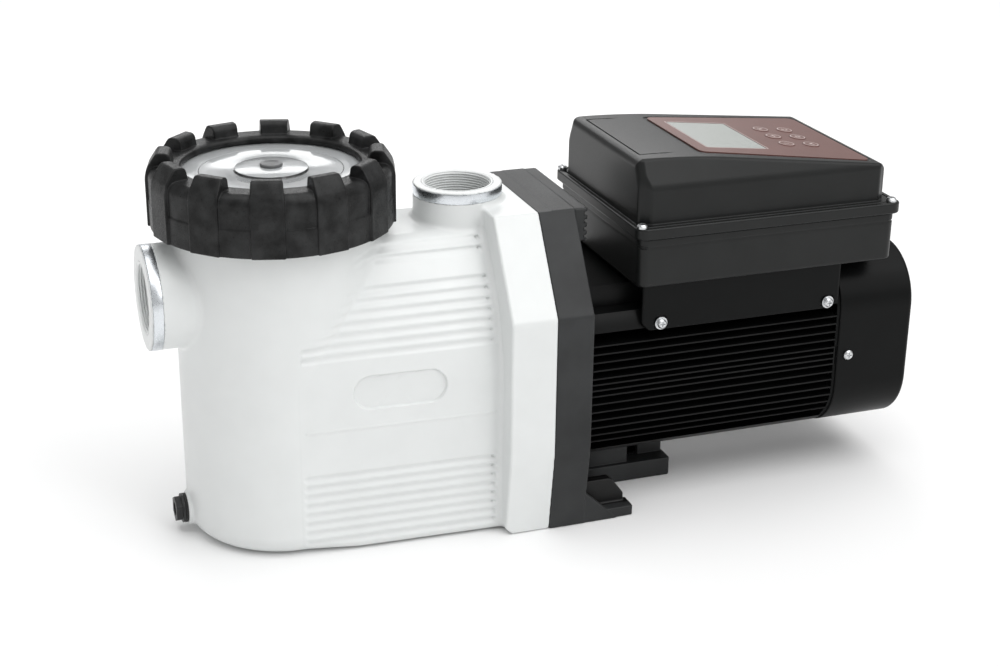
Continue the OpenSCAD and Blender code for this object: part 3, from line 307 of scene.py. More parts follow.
def drawn_out(name, shapes, place, ends, dissolve=False):
    """Solid between two ends of flat outlines: each shape is an outline followed by its holes."""
    bm = bmesh.new()
    for loops in shapes:
        rings = [[[bm.verts.new(place(u, v, end)) for u, v in loop] for end in ends] for loop in loops]
        for near, far in rings:
            for i in range(len(near)):
                j = (i + 1) % len(near)
                bm.faces.new((near[i], near[j], far[j], far[i]))
        for end in (0, 1):
            edges = []
            for line in (ring[end] for ring in rings):
                edges += [bm.edges.get((line[i], line[(i + 1) % len(line)])) for i in range(len(line))]
            bmesh.ops.triangle_fill(bm, use_beauty=True, use_dissolve=dissolve, edges=edges)
    bmesh.ops.recalc_face_normals(bm, faces=bm.faces)
    mesh = bpy.data.meshes.new(name)
    bm.to_mesh(mesh)
    bm.free()
    return mesh


def soften(node, width):
    """Small rounded edges on a CAD node."""
    piece = frame["nodes"][node]
    piece.modifiers.new("weld", "WELD").merge_threshold = 1e-6
    flat = piece.modifiers.new("flat", "DECIMATE")
    flat.decimate_type = "DISSOLVE"
    flat.angle_limit = math.radians(0.5)
    edge = piece.modifiers.new("edge", "BEVEL")
    edge.width = width * MM
    edge.segments = 2
    edge.limit_method = "ANGLE"
    edge.angle_limit = math.radians(30)
    shade(piece.data)
    piece.modifiers.new("shade", "WEIGHTED_NORMAL").keep_sharp = True


# ---------- materials ----------


def add_node(mat, kind, sockets=(), **settings):
    """New node in a material, with the values of its sockets and its settings."""
    node = mat.node_tree.nodes.new("ShaderNode" + kind)
    for name, value in settings.items():
        setattr(node, name, value)
    for socket, value in dict(sockets).items():
        node.inputs[socket].default_value = value
    return node


def material(name, colour, rough, metal=0.0, tint=0.05, tint_scale=35.0, rough_vary=0.05, grain=1400.0,
             grain_depth=0.00002, wave=0.0, coat=0.0, coat_rough=0.1, sheen=0.0, transmission=0.0,
             specular=0.5):
    """Principled material whose colour, roughness and relief vary as a moulded or machined surface does."""
    mat = bpy.data.materials.new(name)
    mat.use_nodes = True
    link = mat.node_tree.links.new
    shader = mat.node_tree.nodes["Principled BSDF"]
    for socket, value in (
        ("Metallic", metal), ("Coat Weight", coat), ("Coat Roughness", coat_rough), ("Sheen Weight", sheen),
        ("Transmission Weight", transmission), ("IOR", 1.49), ("Specular IOR Level", specular),
    ):
        shader.inputs[socket].default_value = value
    place = add_node(mat, "TexCoord").outputs["Object"]
    cloud = add_node(mat, "TexNoise", {"Scale": tint_scale, "Detail": 5.0})
    link(place, cloud.inputs["Vector"])
    ramp = add_node(mat, "MapRange", {"From Min": 0.35, "From Max": 0.65})
    link(cloud.outputs["Fac"], ramp.inputs["Value"])
    mix = add_node(mat, "Mix", data_type="RGBA")
    mix.inputs[6].default_value = (*[c * (1 - tint) for c in colour], 1)
    mix.inputs[7].default_value = (*[min(1, c * (1 + tint)) for c in colour], 1)
    link(ramp.outputs["Result"], mix.inputs[0])
    link(mix.outputs[2], shader.inputs["Base Color"])
    fine = add_node(mat, "TexNoise", {"Scale": grain, "Detail": 3.0})
    link(place, fine.inputs["Vector"])
    low, high = max(0.02, rough - rough_vary), min(1.0, rough + rough_vary)
    spread = add_node(mat, "MapRange", {"From Min": 0.3, "From Max": 0.7, "To Min": low, "To Max": high})
    link(fine.outputs["Fac"], spread.inputs["Value"])
    link(spread.outputs["Result"], shader.inputs["Roughness"])
    if grain_depth:
        bump = add_node(mat, "Bump", {"Strength": 0.6, "Distance": grain_depth})
        link(fine.outputs["Fac"], bump.inputs["Height"])
        if wave:
            broad = add_node(mat, "Bump", {"Strength": 0.5, "Distance": wave})
            link(cloud.outputs["Fac"], broad.inputs["Height"])
            link(broad.outputs["Normal"], bump.inputs["Normal"])
        link(bump.outputs["Normal"], shader.inputs["Normal"])
    return mat


LOOKS = {
    "white_moulding": dict(colour=(0.745, 0.762, 0.757), rough=0.36, tint=0.012, rough_vary=0.04,
                           grain=700.0, grain_depth=0.00003, wave=0.00012, coat=0.15, coat_rough=0.25),
    "chrome_trim": dict(colour=(0.74, 0.77, 0.80), rough=0.30, metal=1.0, tint=0.02, rough_vary=0.05,
                        grain=900.0, grain_depth=0.000008),
    "clear_lid": dict(colour=(0.80, 0.82, 0.83), rough=0.10, tint=0.02, rough_vary=0.04, grain=300.0,
                      grain_depth=0.00001, transmission=0.55),
    "grey_boss": dict(colour=(0.12, 0.122, 0.125), rough=0.42, tint=0.04),
    "black_grip": dict(colour=(0.012, 0.0123, 0.0124), rough=0.42, tint=0.8, tint_scale=70.0,
                       rough_vary=0.18, grain=900.0, grain_depth=0.00010, wave=0.0002, specular=0.25),
    "black_rubber": dict(colour=(0.012, 0.012, 0.012), rough=0.72, tint=0.1, sheen=0.1),
    "basket_plastic": dict(colour=(0.62, 0.64, 0.66), rough=0.45, tint=0.02),
    "stainless": dict(colour=(0.62, 0.63, 0.64), rough=0.28, metal=1.0, tint=0.03, grain=2200.0),
    "black_plug": dict(colour=(0.012, 0.0125, 0.013), rough=0.45, tint=0.1),
    "hydraulic_plastic": dict(colour=(0.035, 0.037, 0.04), rough=0.5, tint=0.06),
    "seal_carbon": dict(colour=(0.03, 0.03, 0.03), rough=0.35, tint=0.1),
    "seal_ceramic": dict(colour=(0.72, 0.70, 0.66), rough=0.3, tint=0.02),
    "bracket_black": dict(colour=(0.021, 0.0222, 0.0228), rough=0.46, tint=0.28, tint_scale=22.0,
                          rough_vary=0.08, grain=1500.0, grain_depth=0.00006, wave=0.0003, specular=0.34),
    "motor_black": dict(colour=(0.0030, 0.0032, 0.0032), rough=0.40, tint=0.10, rough_vary=0.08,
                        grain=1100.0, grain_depth=0.00004, specular=0.18),
    "lamination": dict(colour=(0.30, 0.30, 0.31), rough=0.45, metal=0.8, tint=0.06),
    "copper_winding": dict(colour=(0.45, 0.17, 0.06), rough=0.4, metal=0.6, tint=0.08),
    "bearing_steel": dict(colour=(0.55, 0.56, 0.57), rough=0.2, metal=1.0, tint=0.02),
    "fan_plastic": dict(colour=(0.016, 0.0165, 0.017), rough=0.45, tint=0.1),
    "box_grey": dict(colour=(0.0095, 0.0102, 0.0100), rough=0.34, tint=0.10, rough_vary=0.06,
                     grain=1700.0, grain_depth=0.00005, specular=0.27),
    "cover_black": dict(colour=(0.0030, 0.0033, 0.0033), rough=0.36, tint=0.10, rough_vary=0.06,
                        grain=1700.0, grain_depth=0.00005, specular=0.12),
    "panel_red": dict(colour=(0.140, 0.056, 0.045), rough=0.40, tint=0.05, grain=2500.0,
                      grain_depth=0.00001, specular=0.9),
    "window_grey": dict(colour=(0.40, 0.42, 0.40), rough=0.30, tint=0.015, grain_depth=0.000004),
    "button_film": dict(colour=(0.145, 0.060, 0.048), rough=0.40, tint=0.05, grain_depth=0.00001,
                        specular=0.9),
    "board_green": dict(colour=(0.02, 0.10, 0.04), rough=0.35, tint=0.1),
    "capacitor_blue": dict(colour=(0.02, 0.03, 0.10), rough=0.35, tint=0.05),
}
MATS = {slot: material(slot, **look) for slot, look in LOOKS.items()}
PRINT = material("print_white", (0.62, 0.52, 0.50), 0.4, tint=0.03, grain_depth=0.000004)


def object_place(mat):
    """Socket with the place of a point on the object."""
    return next(n for n in mat.node_tree.nodes if n.bl_idname == "ShaderNodeTexCoord").outputs["Object"]


def close_to(mat, value, target, reach):
    """Socket that is one where a value lies within reach of a target."""
    near = add_node(mat, "Math", {1: target, 2: reach}, operation="COMPARE")
    mat.node_tree.links.new(value, near.inputs[0])
    return near.outputs["Value"]


def overlay(mat, mask, colour):
    """Colour laid over a material where the mask is one."""
    link = mat.node_tree.links.new
    base = mat.node_tree.nodes["Principled BSDF"].inputs["Base Color"]
    over = add_node(mat, "Mix", data_type="RGBA")
    over.inputs[7].default_value = (*colour, 1)
    link(mask, over.inputs[0])
    link(base.links[0].from_socket, over.inputs[6])
    link(over.outputs[2], base)


def paint_shade_rings(mat, rings, colour):
    """Painted shade: dark circular lines about the object's own upright axis, as (radius, half width) in
    metres.
    """
    link = mat.node_tree.links.new
    flat = add_node(mat, "VectorMath", {1: (1, 1, 0)}, operation="MULTIPLY")
    link(object_place(mat), flat.inputs[0])
    length = add_node(mat, "VectorMath", operation="LENGTH")
    link(flat.outputs["Vector"], length.inputs[0])
    for radius, half in rings:
        overlay(mat, close_to(mat, length.outputs["Value"], radius, half), colour)


def paint_shade_box(mat, low, high, colour):
    """Painted shade: darker colour on the part of an object that lies between two corners, mirrored in y, in
    metres.
    """
    link = mat.node_tree.links.new
    fold = add_node(mat, "VectorMath", operation="ABSOLUTE")
    link(object_place(mat), fold.inputs[0])
    split = add_node(mat, "SeparateXYZ")
    link(fold.outputs["Vector"], split.inputs[0])
    inside = None
    for axis in range(3):
        near = close_to(mat, split.outputs[axis], (low[axis] + high[axis]) / 2, (high[axis] - low[axis]) / 2)
        if inside:
            both = add_node(mat, "Math", operation="MULTIPLY")
            link(inside, both.inputs[0])
            link(near, both.inputs[1])
            near = both.outputs["Value"]
        inside = near
    overlay(mat, inside, colour)


# painted shade: dark rings on the clear lid at the step of its raised centre and in its groove, where shadow
# falls
LID_STEP_R, LID_LINE_R, GROOVE_SHADE_COLOUR = 31.1, 60.5, (0.05, 0.05, 0.05)
paint_shade_rings(MATS["clear_lid"], ((LID_STEP_R * MM, 0.0005), (LID_LINE_R * MM, 0.00025)), GROOVE_SHADE_COLOUR)
# painted shade: the feet behind the plate, short of their outer faces, are painted darker where shade falls
# among the cheeks and pads
FOOT_SHADE_BOX = ((0.2512, 0.05, 0.0), (0.31, 0.0955, 0.04))
paint_shade_box(MATS["bracket_black"], *FOOT_SHADE_BOX, (0.003, 0.003, 0.003))

# the CAD nodes that stay in view get these materials too
for part in frame["record"]["subparts"]:
    target = frame["nodes"][part["node"]].data
    target.materials.clear()
    target.materials.append(MATS[part["material_slot"]])

# ---------- white housing ----------

LOW_GROOVE, LOW_PITCH, LOW_START = 12.2, 8.73, 2.0
HIGH_GROOVE, HIGH_PITCH, HIGH_FADE, CROWN_FADE = 181.9, 8.2, 26.0, 30.0
HIGH_STARTS = [-1.0, 0.0, 10.0, 21.0, 30.0, 37.0, 43.0]
CROWN_GROOVES, CROWN_START = (252.8, 260.0), 50.0
GROOVE_END, GROOVE_R, GROOVE_LIFT, GROOVE_EDGE, FADE_LIFT = 167.5, 2.9, 1.05, 1.3, 2.2
RIDGE_X, RIDGE_Z, RIDGE_R, RIDGE_SINK = 3.0, 117.0, 1.3, 0.7
BADGE_U, BADGE_Z, BADGE_LEN, BADGE_H, BADGE_DEPTH = 88.0, 148.2, 81.5, 30.5, 2.4


def channel(x, dz, depth, start, fade=0.0):
    """Round-bottomed groove along x, dz off its height, that comes out of the surface over its first fade."""
    ends = np.maximum(np.maximum(start - x, x - GROOVE_END), 0)
    lift = GROOVE_LIFT
    if np.any(fade):
        lift = GROOVE_LIFT + FADE_LIFT * np.clip(1 - (x - start) / np.maximum(fade, 0.1), 0, 1)
    return np.sqrt(ends**2 + dz**2 + (depth - lift) ** 2) - GROOVE_R


def notch(x, dz, depth):
    """Small pocket at the flange end of a groove."""
    return meet(rect(x - GROOVE_END, dz - 0.6, 1.2, 1.0, 0.4), -depth - 2.6, 0.3)


def housing(p):
    """Barrel, trunk, flange, collars and drain boss, less grooves, badge recess and water path."""
    x, y, z = p.T
    side, rho = np.abs(y), np.hypot(x, y)
    barrel = meet(rho - BARREL_R, -z, BARREL_EDGE)
    barrel = meet(barrel, z - BARREL_TOP, 2)
    neck = meet(meet(rho - NECK_R, z - NECK_TOP, 1), NECK_LOW - z, 1)
    barrel = join(barrel, neck, 3)
    panel = x * math.cos(PLAN_A) + side * math.sin(PLAN_A) - BARREL_R
    slope = (side - CROWN_W) * math.cos(SHOULDER_A) + (z - CROWN_Z) * math.sin(SHOULDER_A)
    trunk = meet(meet(z - CROWN_Z, slope, 11), panel, 22)
    # its lower edge is rounder near the barrel
    trunk = meet(trunk, 1 - z, 8 + 11 * np.clip(1 - (x - TANGENT_X) / 50, 0, 1))
    trunk = meet(trunk, x - FLANGE_X - 8, 1)
    trunk = meet(trunk, TANGENT_X - x, 1)
    skin = trunk
    flange = meet(octagon(side, z, 0, 1.6), x - JOINT_X, 0.6)
    flange = meet(flange, FLANGE_X - x, 2.2)
    flange = meet(flange, ((FLANGE_X - x) - z + 7) * math.sqrt(0.5), 1)
    outer = join(trunk, flange, 4.5)
    # the fillet between barrel and trunk widens towards the crown
    outer = join(barrel, outer, 0.3 + 7.7 * np.clip((z - 215) / 50, 0, 1))
    outer = meet(meet(outer, -z, 0.8), x - JOINT_X, 0.6)
    # collars, each with a seat for its band, and drain boss
    rs = np.hypot(y, z - SUCTION_Z)
    collar = meet(meet(rs - SUCTION_R + 0.2, -SUCTION_X - x, 1.2), x + 40, 1)
    outer = join(outer, collar, 4)
    seat = SUCTION_R - BAND_T - 0.1
    groove = meet(seat - rs, slab(x, -SUCTION_X + LIP_T - 0.05, -SUCTION_X + LIP_T + BAND_W + 0.05))
    outer = cut(outer, meet(groove, x + 90), 0.2)
    rd = np.hypot(x - DISCHARGE_X, y)
    collar = meet(meet(rd - DISCHARGE_R + 0.2, z - DISCHARGE_Z, 1.2), 240 - z, 1)
    outer = join(outer, collar, 5)
    seat = DISCHARGE_R - BAND_T - 0.1
    groove = meet(seat - rd, slab(z, DISCHARGE_Z - LIP_T - BAND_W - 0.05, DISCHARGE_Z - LIP_T + 0.05))
    outer = cut(outer, groove, 0.2)
    drain = np.hypot(y, z - DRAIN_Z)
    boss = meet(meet(drain - DRAIN_BOSS_R, DRAIN_X - x, 1.5), x + 76, 1)
    outer = join(outer, boss, 3)
    # grooves follow the trunk alone near the flange
    skin = np.where(x > 150, skin, outer)
    low = np.clip(np.round((z - LOW_GROOVE) / LOW_PITCH), 0, 7)
    dz = z - LOW_GROOVE - low * LOW_PITCH
    outer = cut(outer, channel(x, dz, skin, LOW_START), GROOVE_EDGE)
    outer = cut(outer, notch(x, dz, skin), 0.2)
    high = np.clip(np.round((z - HIGH_GROOVE) / HIGH_PITCH), 0, len(HIGH_STARTS) - 1)
    dz = z - HIGH_GROOVE - high * HIGH_PITCH
    start = np.array(HIGH_STARTS)[high.astype(int)]
    outer = cut(outer, channel(x, dz, skin, start, np.where(high > 1, HIGH_FADE, 1.0)), GROOVE_EDGE)
    outer = cut(outer, notch(x, dz, skin), 0.2)
    for height in CROWN_GROOVES:
        outer = cut(outer, channel(x, z - height, skin, CROWN_START, CROWN_FADE), GROOVE_EDGE)
        outer = cut(outer, notch(x, z - height, skin), 0.2)
    ends = np.maximum(np.maximum(RIDGE_X - x, x - GROOVE_END), 0)
    outer = join(outer, np.sqrt(ends**2 + (z - RIDGE_Z) ** 2 + (skin + RIDGE_SINK) ** 2) - RIDGE_R, 1.0)
    # badge recess on the near side, left bare
    u = x * math.cos(PANEL_A) + side * math.sin(PANEL_A)
    pill = np.hypot(np.maximum(np.abs(u - BADGE_U) - (BADGE_LEN - BADGE_H) / 2, 0), z - BADGE_Z) - BADGE_H / 2
    draft = 0.3 * np.minimum(-panel, BADGE_DEPTH)
    recess = meet((pill + draft - 0.2) * 0.95, -panel - BADGE_DEPTH, 0.4)
    outer = cut(outer, meet(recess, y + 20), 0.45)
    # water path
    room = meet(rho - BARREL_R + WALL, WALL - z, 8)
    room = cut(room, meet(BARREL_R - WALL - LEDGE_W - rho, slab(z, LEDGE_LOW, LEDGE_TOP)), 0.4)
    hollow = meet(meet(z - CROWN_Z + WALL, slope + WALL, 10), panel + WALL, 20)
    hollow = meet(meet(hollow, 7 - z, 6), x - VOLUTE_X)
    hollow = meet(meet(hollow, BARREL_R - rho), TANGENT_X - x)
    rx = np.hypot(y, z - SHAFT_Z)
    hollow = cut(hollow, meet(rx - EYE_WALL_R, slab(x, EYE_X, EYE_END)))
    void = union(
        room, hollow,
        meet(rx - EYE_R, slab(x, EYE_X, EYE_END + 2)),
        meet(rx - VOLUTE_R, VOLUTE_X - x),
        meet(rs - LINER_R, x + SUCTION_X - PORT_DEPTH),
        meet(rs - PORT_NECK, x + 60),
        meet(rd - LINER_R, DISCHARGE_Z - PORT_DEPTH - z),
        meet(rd - PORT_NECK, SHAFT_Z + 60 - z),
        meet(drain - DRAIN_BORE_R, x + 70),
        meet(np.abs(rho - SEAL_R) - SEAL_T, NECK_TOP - SEAL_T - z),
    )
    return cut(outer, void, 0.8)


moulded("housing_body", housing, (-SUCTION_X, -FLANGE_W, 0), (JOINT_X, FLANGE_W, NECK_TOP),
        1.4, "pump_housing", "white_moulding", 190000)


def liner(name, place, seed):
    """White threaded mouth of a port: a parallel pipe thread on the inside of a short sleeve."""
    pitch, depth, turns, rows, back = 2.309, 1.2, 120, 12, 0.15
    length = PORT_DEPTH - 0.6
    count = int(length / pitch * rows)
    points, faces = [], []
    for i in range(turns):
        a = 2 * math.pi * i / turns
        for j in range(count + 1):
            h = length * j / count
            t = (h / pitch + i / turns + seed) % 1.0
            crest = 2 * abs(t - 0.5)
            mouth = max(0.0, 1.6 - h) * 0.9
            r = PORT_R + max(depth * min(1.0, max(0.0, crest * 1.6 - 0.3)), mouth)
            points.append(place(r, a, h + back))
        points.append(place(LINER_R + 0.05, a, length + back))
        points.append(place(LINER_R + 0.05, a, back))
    n = count + 3
    for i in range(turns):
        here, there = i * n, (i + 1) % turns * n
        # the thread climbs one pitch in a turn, so the last column meets the first a pitch on
        for j in range(n):
            faces.append((here + j, here + (j + 1) % n, there + (j + 1) % n, there + j))
    mesh = mesh_of(name, points, faces)
    clean(mesh, 40)
    add_piece(name, mesh, "white_moulding", "pump")


liner("suction_thread", lambda r, a, h: ((-SUCTION_X + h) * MM, r * math.cos(a) * MM,
                                         (SUCTION_Z + r * math.sin(a)) * MM), 0.0)
liner("discharge_thread", lambda r, a, h: ((DISCHARGE_X + r * math.cos(a)) * MM, r * math.sin(a) * MM,
                                           (DISCHARGE_Z - h) * MM), 0.3)


def band_profile(outer, inner, width):
    """Slightly crowned strip with rolled edges."""
    e = 0.6
    return [(inner, 0), (outer - e, 0), (outer - 0.18, 0.18), (outer - 0.05, e), (outer, width / 2),
            (outer - 0.05, width - e), (outer - 0.18, width - 0.18), (outer - e, width), (inner, width)]


revolved("suction_trim", band_profile(SUCTION_R, SUCTION_R - BAND_T, BAND_W), "chrome_trim", "pump",
         ["suction_band"], 128, "X", (-SUCTION_X + LIP_T, 0, SUCTION_Z))
revolved("discharge_trim", band_profile(DISCHARGE_R, DISCHARGE_R - BAND_T, BAND_W), "chrome_trim", "pump",
         ["discharge_band"], 128, "Z", (DISCHARGE_X, 0, DISCHARGE_Z - LIP_T - BAND_W))

# ---------- lid, boss and ring ----------

AXIS_R, SKIRT_IN, SKIRT_OUT = 0.01, 75.2, 79.6
plate_top, line_low = LID_TOP - 0.4, LID_TOP - 0.4 - 0.4
lid_top = [(AXIS_R, LID_TOP - 3.2), (7.1, LID_TOP - 3.2), (7.1, LID_TOP + 2.2), (12.0, LID_TOP + 2.1),
           (29.6, LID_TOP + 1.4), (30.6, LID_TOP + 1.0), (31.4, LID_TOP - 0.9), (32.4, plate_top),
           (LID_LINE_R - 0.6, plate_top), (LID_LINE_R - 0.6 * 0.6, line_low),
           (LID_LINE_R + 0.6 * 0.6, line_low), (LID_LINE_R + 0.6, plate_top),
           (LID_R - 1.2, plate_top), (LID_R - 0.3, LID_TOP - 0.9), (LID_R - 0.1, LID_TOP - 2)]
lid_low = [(LID_R - 0.1, LID_LOW + 0.6), (LID_R - 0.8, LID_LOW + 0.1), (80.6, LID_LOW + 0.1),
           (SKIRT_OUT, LID_LOW - 0.9), (SKIRT_OUT, LID_LOW - 8.2), (79.0, LID_LOW - 8.9),
           (75.8, LID_LOW - 8.9), (SKIRT_IN, LID_LOW - 8.2), (SKIRT_IN, LID_LOW + 0.6),
           (74.2, LID_LOW + 1.6), (AXIS_R, LID_LOW + 1.6)]
revolved("lid_disc", lid_top + lid_low, "clear_lid", "lid_lift", ["lid"], 160)
boss_outline = [(AXIS_R, LID_TOP - 2.9), (6.9, LID_TOP - 2.9), (6.9, LID_TOP + 2.3), (9.5, LID_TOP + 2.3),
                (9.6, LID_TOP + 3.9), (9.0, LID_TOP + 4.8), (6.4, LID_TOP + 5.0), (5.8, LID_TOP + 4.6),
                (AXIS_R, LID_TOP + 4.5)]
revolved("lid_button", boss_outline, "grey_boss", "lid_lift", ["lid_boss"], 72)

LUGS, LUG_IN, LUG_HALF, LUG_TAPER = 12, 83.0, 9.0, 0.115
RING_STEP_Z, RING_BORE, RING_SHOULDER = 304.0, 92.3, 96.9


def grip_ring(p):
    """Screwed ring: a stepped wall with a bore over the lid, and evenly spaced lugs whose sides taper."""
    x, y, z = p.T
    rho = np.hypot(x, y)
    turn = np.arctan2(y, x)
    part = 2 * math.pi / LUGS
    local = np.mod(turn, part) - part / 2
    u, v = rho * np.cos(local), np.abs(rho * np.sin(local))
    wall = RING_R - 1.4 + 0.3 * np.tanh((RING_STEP_Z - z) / 0.4)
    body = meet(rho - wall, z - RING_TOP, 1)
    body = meet(body, (rho - RING_SHOULDER) * 0.7071 + (z - RING_TOP) * 0.7071, 2.5)
    body = meet(body, RING_LOW - z, 1.2)
    body = cut(body, meet(rho - RING_BORE, z - LID_TOP - 0.3, 0.4), 0.5)
    body = meet(body, RING_EYE - rho, 1.2)
    body = meet(body, (RING_EYE + 3 - rho) * 0.5 + (z - RING_TOP) * 0.866, 1.5)
    # lug: its top leans outwards, its inner face is steep and its sides taper
    lug = meet(u - RING_R, z - LUG_TOP, 1)
    lug = meet(lug, (u - 94) * 0.757 + (z - LUG_TOP) * 0.653, 2)
    lug = meet(lug, (u - RING_R + 4) * 0.894 + (z - LUG_TOP + 8) * 0.447, 3)
    lug = meet(lug, (LUG_IN - u) * 0.98 + (z - LUG_TOP) * 0.17, 2)
    lug = meet(lug, (LUG_IN + 1.5 - u) * 0.6 + (z - LUG_TOP + 0.8) * 0.8, 1.5)
    lug = meet(lug, (v - LUG_HALF - (u - 60) * LUG_TAPER) * 0.993, 1.3)
    lug = meet(lug, RING_LOW - z, 1.2)
    lug = cut(lug, meet(rho - 97, z - LID_TOP - 1.5), 0.5)
    return join(body, lug, 0.7)


moulded("grip_ring", grip_ring, (-RING_R, -RING_R, RING_LOW), (RING_R, RING_R, LUG_TOP),
        1.0, "lid_ring", "black_grip", 180000, "lid_turn")

# ---------- bracket, feet and motor support ----------

HOOD_X, HOOD_LOW, HOOD_GROOVE, HOOD_PITCH = 262.3, 254.0, 257.7, 7.0
FOOT_X, FOOT_LEAN, CHEEK_X, CHEEK_TOP, INNER_CHEEK_TOP, CHEEK_BREAK = 298.5, 0.0233, 293.5, 34.0, 22.0, 281.0
FOOT_IN, FOOT_OUT, CHEEKS, FOOT_HOLE_X, FOOT_HOLE_R = 60.0, 104.0, ((60.0, 66.0), (86.0, 92.0)), 272.0, 4.75
HUB_R, SPIGOT_R, SPIGOT_X, SEAL_BORE_R, SHAFT_BORE_R, SHIELD_BORE_R = 58.0, 91.7, 204.0, 20.05, 14.0, 50.0
WEB_LEVELS, SHIELD_BOLT_R = (60.0, 100.0, 150.0, 195.0), 54.0
CASING_BOLTS, BOLT_BORE, BOLT_HEAD = ((50, 262), (96, 206), (105, 140), (101.5, 52)), 4.1, 8.2


def bracket(p):
    """Octagonal plate and skirt, hood, hub, webs and two feet, less the shaft, bolt and foot holes."""
    x, y, z = p.T
    side = np.abs(y)
    rx = np.hypot(y, z - SHAFT_Z)
    plate = meet(octagon(side, z, 0, 1.2), slab(x, JOINT_X, PLATE_X), 0.8)
    skirt = meet(octagon(side, z, 0, 1.2), slab(x, JOINT_X, BRACKET_X), 1.0)
    skirt = cut(skirt, meet(octagon(side, z, 6, 2), PLATE_X - x), 0.8)
    body = np.minimum(plate, skirt)
    crown = meet(slab(x, PLATE_X - 3, HOOD_X), slab(z, HOOD_LOW, FLANGE_TOP), 1.5)
    crown = meet(crown, side - FLANGE_CROWN, 2)
    level = np.clip(np.round((z - HOOD_GROOVE) / HOOD_PITCH), 0, 3)
    groove = meet(np.abs(z - HOOD_GROOVE - level * HOOD_PITCH) - 1.7, HOOD_X - 3 - x, 0.5)
    body = join(body, cut(crown, groove, 0.6), 1.5)
    # hub, spigot and webs
    body = join(body, meet(rx - HUB_R, slab(x, PLATE_X - 2, 244), 1.5), 2)
    body = join(body, meet(rx - SPIGOT_R, slab(x, SPIGOT_X, JOINT_X + 1), 1), 0.5)
    web = meet(np.abs(side - 87) - 22, slab(x, PLATE_X - 1, 246), 0.5)
    level = union(*(np.abs(z - height) for height in WEB_LEVELS)) - 2
    body = join(body, meet(web, level, 0.4), 1)
    # feet
    behind = meet(PLATE_X - 2 - x, -z)
    pad = meet(meet(slab(side, FOOT_IN, FOOT_OUT - 1), z - 10, 1.2), x - FOOT_X, 2)
    pad = meet(pad, (side - FOOT_OUT) + (x - PLATE_X) * FOOT_LEAN, 1)
    pad = meet(pad, (side - FOOT_OUT + 1.5 + x - FOOT_X + 2) * 0.7071, 1)
    pad = meet(pad, np.where(side < CHEEKS[1][0], x - CHEEK_X, -9))
    pad = meet(meet(pad, PLATE_X - 2 - x), -z, 0.6)
    body = join(body, pad, 1)
    cheek = union(*(slab(side, lo, hi) for lo, hi in CHEEKS))
    top = np.where(side < 76, INNER_CHEEK_TOP, CHEEK_TOP)
    shape = meet(z - top, (z - CHEEK_TOP) * 0.604 + (x - CHEEK_BREAK) * 0.797, 2)
    shape = meet(shape, x - CHEEK_X, 1)
    body = join(body, meet(meet(shape, cheek, 0.8), behind), 1.5)
    gusset = meet(slab(side, 97, 104.5), (x - 250) * 0.683 + (z - 31) * 0.73, 1.5)
    body = join(body, meet(meet(gusset, z - 40), behind), 2)
    edge = side - 104.9 + np.maximum(x - PLATE_X, 0) * FOOT_LEAN
    strip = meet(np.maximum(edge, CHEEKS[1][1] - side), slab(x, 217.5, FOOT_X - 0.1), 1.6)
    body = join(body, meet(strip, meet(z - 9.5, -z, 1), 0.6), 0.5)
    body = meet(meet(body, -z, 0.8), side - FLANGE_W + 0.05, 0.1)
    # holes for the seal, the shaft, the shield, the bolts and the feet
    holes = [meet(rx - SEAL_BORE_R, x - 214), rx - SHAFT_BORE_R, meet(rx - SHIELD_BORE_R, 226 - x)]
    for by, bz in CASING_BOLTS:
        rb = np.hypot(side - by, z - bz)
        holes += [rb - BOLT_BORE, meet(rb - BOLT_HEAD, PLATE_X - x)]
    reach = SHIELD_BOLT_R * math.sin(math.radians(45))
    rb = np.hypot(side - reach, np.abs(z - SHAFT_Z) - SHIELD_BOLT_R * math.cos(math.radians(45)))
    holes.append(meet(rb - 3.1, PLATE_X - 8 - x))
    holes.append(meet(np.hypot(x - FOOT_HOLE_X, side - 76) - FOOT_HOLE_R, z - 12))
    return cut(body, union(*holes), 0.6)


moulded("bracket_body", bracket, (SPIGOT_X, -FLANGE_W, 0), (FOOT_X, FLANGE_W, FLANGE_TOP),
        1.2, "bracket", "bracket_black", 150000)

SUPPORT_X, SUPPORT_END, SUPPORT_W, SUPPORT_BASE = 250.5, 364.5, 39.0, 18.0
STEM_X, STEM_W, WIDE_END, WIDE_W = 258.0, 23.0, 322.0, 35.0


def support(p):
    """Block under the motor: a base, a stem that is wide at the front, and a pocket in each side."""
    x, y, z = p.T
    side = np.abs(y)
    base = meet(meet(slab(x, SUPPORT_X, SUPPORT_END), side - SUPPORT_W, 2), slab(z, 0, SUPPORT_BASE), 1.0)
    stem = meet(meet(slab(x, STEM_X, SUPPORT_END - 2), side - STEM_W, 1.2), slab(z, 10, MOTOR_LOW))
    wide = meet(meet(slab(x, STEM_X, WIDE_END), side - WIDE_W, 1.2), slab(z, 10, MOTOR_LOW))
    body = join(base, join(stem, wide, 0.8), 1.0)
    front = meet(meet(slab(x, PLATE_X, 252), side - WIDE_W), slab(z, 10, SUPPORT_BASE), 0.5)
    body = join(body, front, 0.5)
    pocket = meet(meet(slab(x, WIDE_END + 0.5, WIDE_END + 15.5), np.abs(side - 25) - 7), SUPPORT_BASE - z)
    under = meet(meet(slab(x, 268, 352.5), side - 18), z - 36)
    return cut(cut(body, pocket, 0.8), under, 0.8)


moulded("support_block", support, (PLATE_X, -SUPPORT_W, 0), (SUPPORT_END, SUPPORT_W, MOTOR_LOW),
        1.0, "motor_support", "bracket_black", 40000)

# ---------- finned motor housing ----------

FIN_T, BAND_LOW, BAND_TOP, SILL_TOP, TUBE_R, STATOR_R = 2.4, 174.0, 190.0, 55.0, 70.0, 62.0
PLINTH_W, PLINTH_EDGE, PLINTH_TOP = 62.0, 204.0, 209.0
FIN_STEPS = [2.8, 8.4] + [8.4 + 7.8 * k for k in range(1, 7)]


